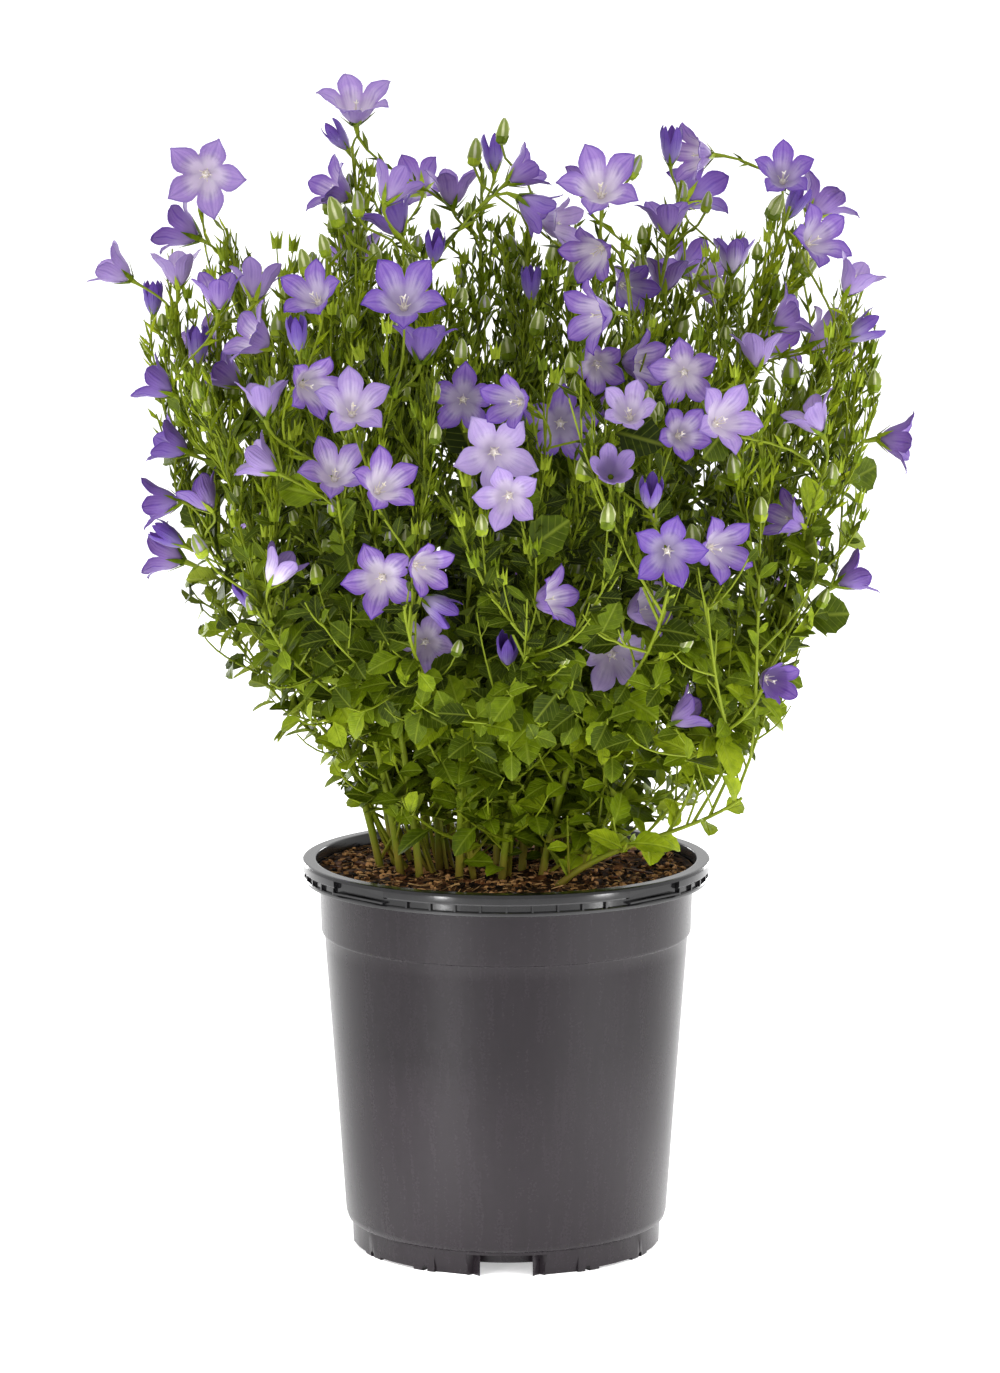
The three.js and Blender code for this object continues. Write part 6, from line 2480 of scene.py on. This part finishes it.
@dataclass
class NurseryPot:
    """The black nursery pot, in millimetres."""

    workshop: Workshop
    steps: int = 144
    slot_angles: tuple[float, ...] = (-136, -44, 44, 136)
    slot_size: Triple = (33, 8, 5.2)
    slot_radius: float = 95
    slot_middle: float = 177.8
    slot_turn: float = 10.5
    ledge_size: Triple = (33, 3, 0.8)
    ledge_radius: float = 92.2
    ledge_middle: float = 174.8
    foot_angles: tuple[float, ...] = (-90, 30, 150)
    foot_size: Triple = (24, 14, 11)
    foot_radius: float = 70
    foot_middle: float = 4.5
    cheek_angles: tuple[float, ...] = (-12.2, 12.2)
    cheek_size: Triple = (9, 9, 11)
    cheek_radius: float = 74.5
    cheek_turn: float = 38
    notch_angles: tuple[float, ...] = (-31.5, 31.5, 60)
    notch_radius: float = 1.5
    notch_depth: float = 14
    notch_middle: float = 1.1
    step_angles: tuple[float, ...] = (-45.5, 45.5)
    step_size: Triple = (22, 14, 2.4)
    pad_angles: tuple[float, ...] = (-21, 21)
    pad_size: Triple = (16, 8, 24)
    pad_radius: float = 72.9
    pad_middle: float = -2
    pad_tilt: float = 16
    drain_count: int = 6
    rib_size: Triple = (0.9, 1.9, 3.4)
    rib_count: int = 50
    rib_radius: float = 92.8
    rib_middle: float = 175.3
    rim_foot: float = 171
    profile: tuple[tuple[float, float], ...] = (
        (0, 4), (61.4, 4), (62, 4.6), (62.4, 9.4), (63, 10), (66.8, 10), (67.2, 9.4), (67.3, 0.5),
        (67.7, 0), (71.2, 0), (71.6, 0.5), (72, 11.3), (73, 11.8), (74.1, 12.8), (74.9, 15.5),
        (78.3, 64), (84.05, 140), (84.4, 146.4), (84.8, 147.1), (85.6, 147.6), (85.95, 148.5),
        (86.6, 169.4), (87, 170.7), (87.8, 171.3), (92.4, 171.5), (93.5, 171.9), (93.9, 172.5),
        (93.9, 173.3), (93.5, 173.8), (92.4, 173.9), (92.3, 176.7), (94.2, 176.9), (94.8, 177.6),
        (94.9, 180.2), (94.75, 181.1), (94.3, 181.75), (93.6, 182), (93.2, 182), (89.4, 182),
        (89, 182), (88.5, 181.8), (88.3, 181.3), (88.1, 176), (85.3, 166.5), (84.6, 150),
        (83.1, 147), (73.6, 15), (72, 12.2), (70.8, 11.5), (0, 11.5),
    )

    @staticmethod
    def middle(radius: float, angle: float, height: float) -> Triple:
        """Returns a place in metres from a radius, an angle in degrees and a height."""
        turn = angle * DEGREE
        return times((math.cos(turn) * radius, math.sin(turn) * radius, height), MILLIMETRE)

    def block(
        self, size: Triple, radius: float, angle: float, height: float, tilt: float = 0,
        turn: float = 0,
    ) -> None:
        """Adds a block in edit mode.

        Args:
            size: Its size across, inwards and upwards.
            radius: Its middle's radius.
            angle: Its middle's angle in degrees.
            height: Its middle's height.
            tilt: How many degrees its foot leans in.
            turn: How many degrees it is turned about its own upright axis.
        """
        bpy.ops.mesh.primitive_cube_add(
            size=MILLIMETRE,
            location=self.middle(radius, angle, height),
            rotation=(tilt * DEGREE, 0, (angle + 90 + turn) * DEGREE),
            scale=size,
        )

    def cutters(self) -> bpy.types.Object:
        """Models the blocks and pegs that are cut out of the pot."""
        bpy.ops.mesh.primitive_cube_add(size=MILLIMETRE, location=(0, 0, 0))
        obj = bpy.context.object
        edit_all()
        bpy.ops.mesh.delete(type="VERT")
        for angle in self.slot_angles:
            self.block(self.slot_size, self.slot_radius, angle, self.slot_middle)
        for angle in self.foot_angles:
            self.block(self.foot_size, self.foot_radius, angle, self.foot_middle)
            for side in self.cheek_angles:
                turn = math.copysign(self.cheek_turn, side)
                self.block(
                    self.cheek_size, self.cheek_radius, angle + side, self.foot_middle, 0, turn
                )
            for side in self.step_angles:
                self.block(self.step_size, self.foot_radius, angle + side, 0)
            for side in self.pad_angles:
                self.block(
                    self.pad_size, self.pad_radius, angle + side, self.pad_middle, self.pad_tilt
                )
            for side in self.notch_angles:
                bpy.ops.mesh.primitive_cylinder_add(
                    vertices=16,
                    radius=self.notch_radius * MILLIMETRE,
                    depth=self.notch_depth * MILLIMETRE,
                    location=self.middle(self.foot_radius, angle + side, self.notch_middle),
                    rotation=(90 * DEGREE, 0, (angle + side + 90) * DEGREE),
                )
        for peg in range(self.drain_count):
            angle = peg * TURN / self.drain_count
            place = (math.cos(angle) * 0.058, math.sin(angle) * 0.058, 0.0107)
            bpy.ops.mesh.primitive_cylinder_add(
                vertices=24, radius=0.0045, depth=0.02, location=place
            )
        close_up()
        return obj

    def build(self) -> None:
        """Builds the pot in one piece."""
        obj = spun("pot_shell", self.profile, self.steps)
        cut(obj, self.cutters())
        apply_modifier(
            obj, "BEVEL", width=0.0003, segments=2, limit_method="ANGLE", angle_limit=50 * DEGREE
        )
        only(obj)
        in_edit()
        for slot in self.slot_angles:
            self.block(self.ledge_size, self.ledge_radius, slot, self.ledge_middle)
        for rib in range(self.rib_count):
            angle = (rib + 0.5) * 360 / self.rib_count - 180
            if all(abs(angle - slot) > self.slot_turn for slot in self.slot_angles):
                self.block(self.rib_size, self.rib_radius, angle, self.rib_middle)
        in_edit("OBJECT")
        for finish in ("pot_plastic", "pot_rim"):
            obj.data.materials.append(self.workshop.finishes[finish])
        for face in obj.data.polygons:
            face.material_index = 1 if face.center.z > self.rim_foot * MILLIMETRE else 0
        only(obj)
        bpy.ops.object.shade_smooth_by_angle(angle=35 * DEGREE)
        self.workshop.hand_in(obj, "pot", Slot.POT)


@dataclass
class SoilBed:
    """The soil with its crumbs, fibres and flakes, in millimetres."""

    workshop: Workshop
    steps: int = 120
    top_rows: int = 28
    top_radius: float = 87.4
    height: float = 176.8
    dome: float = 1.4
    grains: tuple[tuple[str, int], ...] = (("crumb", 1500), ("fibre", 1100), ("flake", 60))

    def surface(self, x: float, y: float) -> float:
        """Returns the height of the soil at a place."""
        share = math.hypot(x, y) / self.top_radius
        lump = noise.noise((x / 11, y / 11, 3.7)) * 2.1 + noise.noise((x / 4, y / 4, 9.1)) * 0.9
        return self.height + self.dome * (1 - share * share) + lump * (1.0 if share < 0.95 else 0.4)

    def bed(self) -> bpy.types.Object:
        """Models the closed body of soil, with a lumpy top."""
        sides = (
            (0, 12.4), (70.4, 12.4), (73, 16), (82.5, 147), (84, 150), (84.4, 163), (86.2, 172),
            (87.4, self.height),
        )
        rows = [
            (self.top_radius * (1 - (i + 1) / self.top_rows), self.height)
            for i in range(self.top_rows)
        ]
        obj = spun("soil_body", [*sides, *rows], self.steps)
        for vertex in obj.data.vertices:
            if vertex.co.z > (self.height - 1) * MILLIMETRE:
                x, y = vertex.co.x / MILLIMETRE, vertex.co.y / MILLIMETRE
                vertex.co.z = self.surface(x, y) * MILLIMETRE
        obj.data.materials.append(self.workshop.finishes["soil_bed"])
        only(obj)
        bpy.ops.object.shade_smooth_by_angle(angle=60 * DEGREE)
        return obj

    @staticmethod
    def grain(kind: str) -> Master:
        """Models a crumb, a fibre or a flake about its middle."""
        if kind == "crumb":
            bpy.ops.mesh.primitive_ico_sphere_add(subdivisions=1, radius=1)
        elif kind == "fibre":
            bpy.ops.mesh.primitive_cylinder_add(
                vertices=4, radius=1, depth=2, rotation=(90 * DEGREE, 0, 0)
            )
        else:
            bpy.ops.mesh.primitive_cube_add(size=2)
        obj = bpy.context.object
        only(obj)
        bpy.ops.object.transform_apply(location=False, rotation=True, scale=False)
        edit_all()
        if kind == "fibre":
            bpy.ops.mesh.bisect(plane_co=(0, 0.1, 0), plane_no=(0, 1, 0))
            bpy.ops.transform.translate(value=(0.9, 0, 0.5))
        else:
            bpy.ops.transform.vertex_random(offset=0.32, seed=4)
        in_edit("OBJECT")
        obj.data.materials.append(None)
        finish = {"crumb": "soil_crumb", "fibre": "soil_fibre", "flake": "bark_flake"}[kind]
        return Master.taken_from(obj, [finish])

    def litter(self) -> bpy.types.Object:
        """Strews crumbs, fibres and flakes over the top."""
        sizes = {
            "crumb": ((0.5, 2.3), (0.5, 2.3), (0.4, 1.5)),
            "fibre": ((0.14, 0.3), (1.6, 5), (0.14, 0.3)),
            "flake": ((1, 2.6), (1.6, 4.4), (0.3, 0.7)),
        }
        pile = Pile()
        draw = Draw(SOIL_SEED)
        for kind, count in self.grains:
            master = self.grain(kind)
            for _ in range(count):
                radius = math.sqrt(draw.number()) * (self.top_radius - 2.6)
                angle = draw.between(0, TURN)
                x, y = math.cos(angle) * radius, math.sin(angle) * radius
                turn = draw.between(0, TURN)
                pitch = draw.between(-0.35, 0.35)
                right = (math.cos(turn), math.sin(turn), 0.0)
                way = unit((-math.sin(turn), math.cos(turn), pitch))
                wide = np.array([draw.between(*limits) for limits in sizes[kind]])
                base = (x, y, self.surface(x, y) + draw.between(-0.2, 0.9))
                pile.add(
                    master, placed(master.points * wide, base, right, way, cross(right, way)),
                    draw.number(),
                )
        return pile.build("soil_litter", self.workshop.finishes, 30)

    def build(self) -> None:
        """Builds the soil's pieces."""
        for obj in (self.bed(), self.litter()):
            self.workshop.hand_in(obj, "soil", Slot.SOIL)


@dataclass(frozen=True)
class Studio:
    """The floor, the lights and the camera of the photograph."""

    floor_size: float = 60
    floor_tone: Colour = paint(250, 250, 250)
    air_level: float = 1.0
    floor_glow: float = 0.42
    lens: float = 144.5
    sensor: float = 36
    aim_height: float = 0.25
    strip_start: float = 0.11
    strip_height: float = 0.1

    def floor(self) -> None:
        """Lays the pale floor."""
        bpy.ops.mesh.primitive_plane_add(size=self.floor_size, location=(0, 8, 0))
        obj = bpy.context.object
        obj.name = "floor"
        shader = Shader("floor_paper", 0.8)
        cloud = shader.noise(shader.places(), 3, 2)
        shader.colour(shader.ramp(cloud, [(0.3, paint(246, 246, 246)), (0.7, self.floor_tone)]))
        shader.set(Emission_Color=(1.0, 1.0, 1.0, 1.0), Emission_Strength=self.floor_glow)
        obj.data.materials.append(shader.material)

    @staticmethod
    def area_lamp(name: str, size: tuple[float, float], power: float) -> bpy.types.Object:
        """Makes a soft lamp.

        Args:
            name: The lamp's name.
            size: Its width and length, in metres.
            power: Its power, in watts.

        Returns:
            The lamp, which looks down.
        """
        data = bpy.data.lights.new(name, "AREA")
        data.shape = "RECTANGLE"
        data.size, data.size_y = size
        data.energy = power
        obj = bpy.data.objects.new(name, data)
        bpy.context.collection.objects.link(obj)
        return obj

    def lamp(self, name: str, place: Triple, size: tuple[float, float], power: float) -> None:
        """Hangs a soft lamp that looks at the plant's middle.

        Args:
            name: The lamp's name.
            place: Where it hangs, in metres.
            size: Its width and height, in metres.
            power: Its power, in watts.
        """
        obj = self.area_lamp(name, size, power)
        obj.location = place
        aim = Vector((0, 0, self.aim_height)) - Vector(place)
        obj.rotation_euler = aim.to_track_quat("-Z", "Y").to_euler()

    def floor_lamp(
        self, name: str, bearing: float, size: tuple[float, float], power: float
    ) -> None:
        """Hangs a low lamp that lights a strip of the floor before the pot, which the pot mirrors.

        Args:
            name: The lamp's name.
            bearing: The strip's bearing from the pot, in degrees from the front to the right.
            size: The strip's width and length, in metres.
            power: The lamp's power, in watts.
        """
        obj = self.area_lamp(name, size, power)
        turned = bearing * DEGREE
        away = self.strip_start + size[1] / 2
        obj.location = (away * math.sin(turned), -away * math.cos(turned), self.strip_height)
        obj.rotation_euler = (0, 0, turned)

    def air(self) -> None:
        """Fills the room with even light."""
        world = bpy.data.worlds.new("studio_air")
        world.use_nodes = True
        background = world.node_tree.nodes["Background"]
        background.inputs["Color"].default_value = (1.0, 1.0, 1.0, 1.0)
        background.inputs["Strength"].default_value = self.air_level
        bpy.context.scene.world = world

    def camera(self) -> None:
        """Sets the camera where the photograph was taken from."""
        data = bpy.data.cameras.new("photo_view")
        data.lens = self.lens
        data.sensor_width = self.sensor
        obj = bpy.data.objects.new("photo_view", data)
        bpy.context.collection.objects.link(obj)
        obj.location = (EYE.side * MILLIMETRE, -EYE.distance * MILLIMETRE, EYE.height * MILLIMETRE)
        obj.rotation_euler = (90 * DEGREE - EYE.pitch, 0, 0)
        bpy.context.scene.camera = obj

    def build(self) -> None:
        """Sets the studio up."""
        bpy.context.scene.view_settings.view_transform = "Standard"
        self.floor()
        self.lamp("key_lamp", (-0.86, -1.23, 0.23), (0.12, 0.42), 6)
        self.lamp("fill_lamp", (1.22, -0.88, 0.23), (0.26, 0.42), 7)
        self.lamp("left_strip", (-0.85, 1.6, 0.5), (0.4, 0.9), 13)
        self.lamp("right_strip", (0.85, 1.6, 0.5), (0.4, 0.9), 13)
        self.floor_lamp("left_floor_lamp", -34, (0.08, 0.5), 0.95)
        self.floor_lamp("right_floor_lamp", 54, (0.34, 0.5), 1.05)
        self.lamp("top_lamp", (0.2, -0.3, 2.4), (1.2, 1.2), 8)
        self.air()
        self.camera()


def main() -> None:
    """Grows the plant, builds each piece in order and sets up the studio."""
    logging.basicConfig(level=logging.INFO, format="%(name)s: %(message)s")
    plant = Plant()
    thicket = Thicket(plant)
    for stem in plant.stems:
        thicket.fill(stem)
    for spray in plant.sprays:
        thicket.dress(spray)
    workshop = Workshop(all_finishes())
    NurseryPot(workshop).build()
    SoilBed(workshop).build()
    greenery = Greenery(workshop)
    for stem in plant.stems:
        greenery.build(stem)
    bells = Bells(workshop, greenery)
    for index, spray in enumerate(plant.sprays):
        bells.build(spray, 300000 + index * 1000)
    Studio().build()


if __name__ == "__main__":
    main()
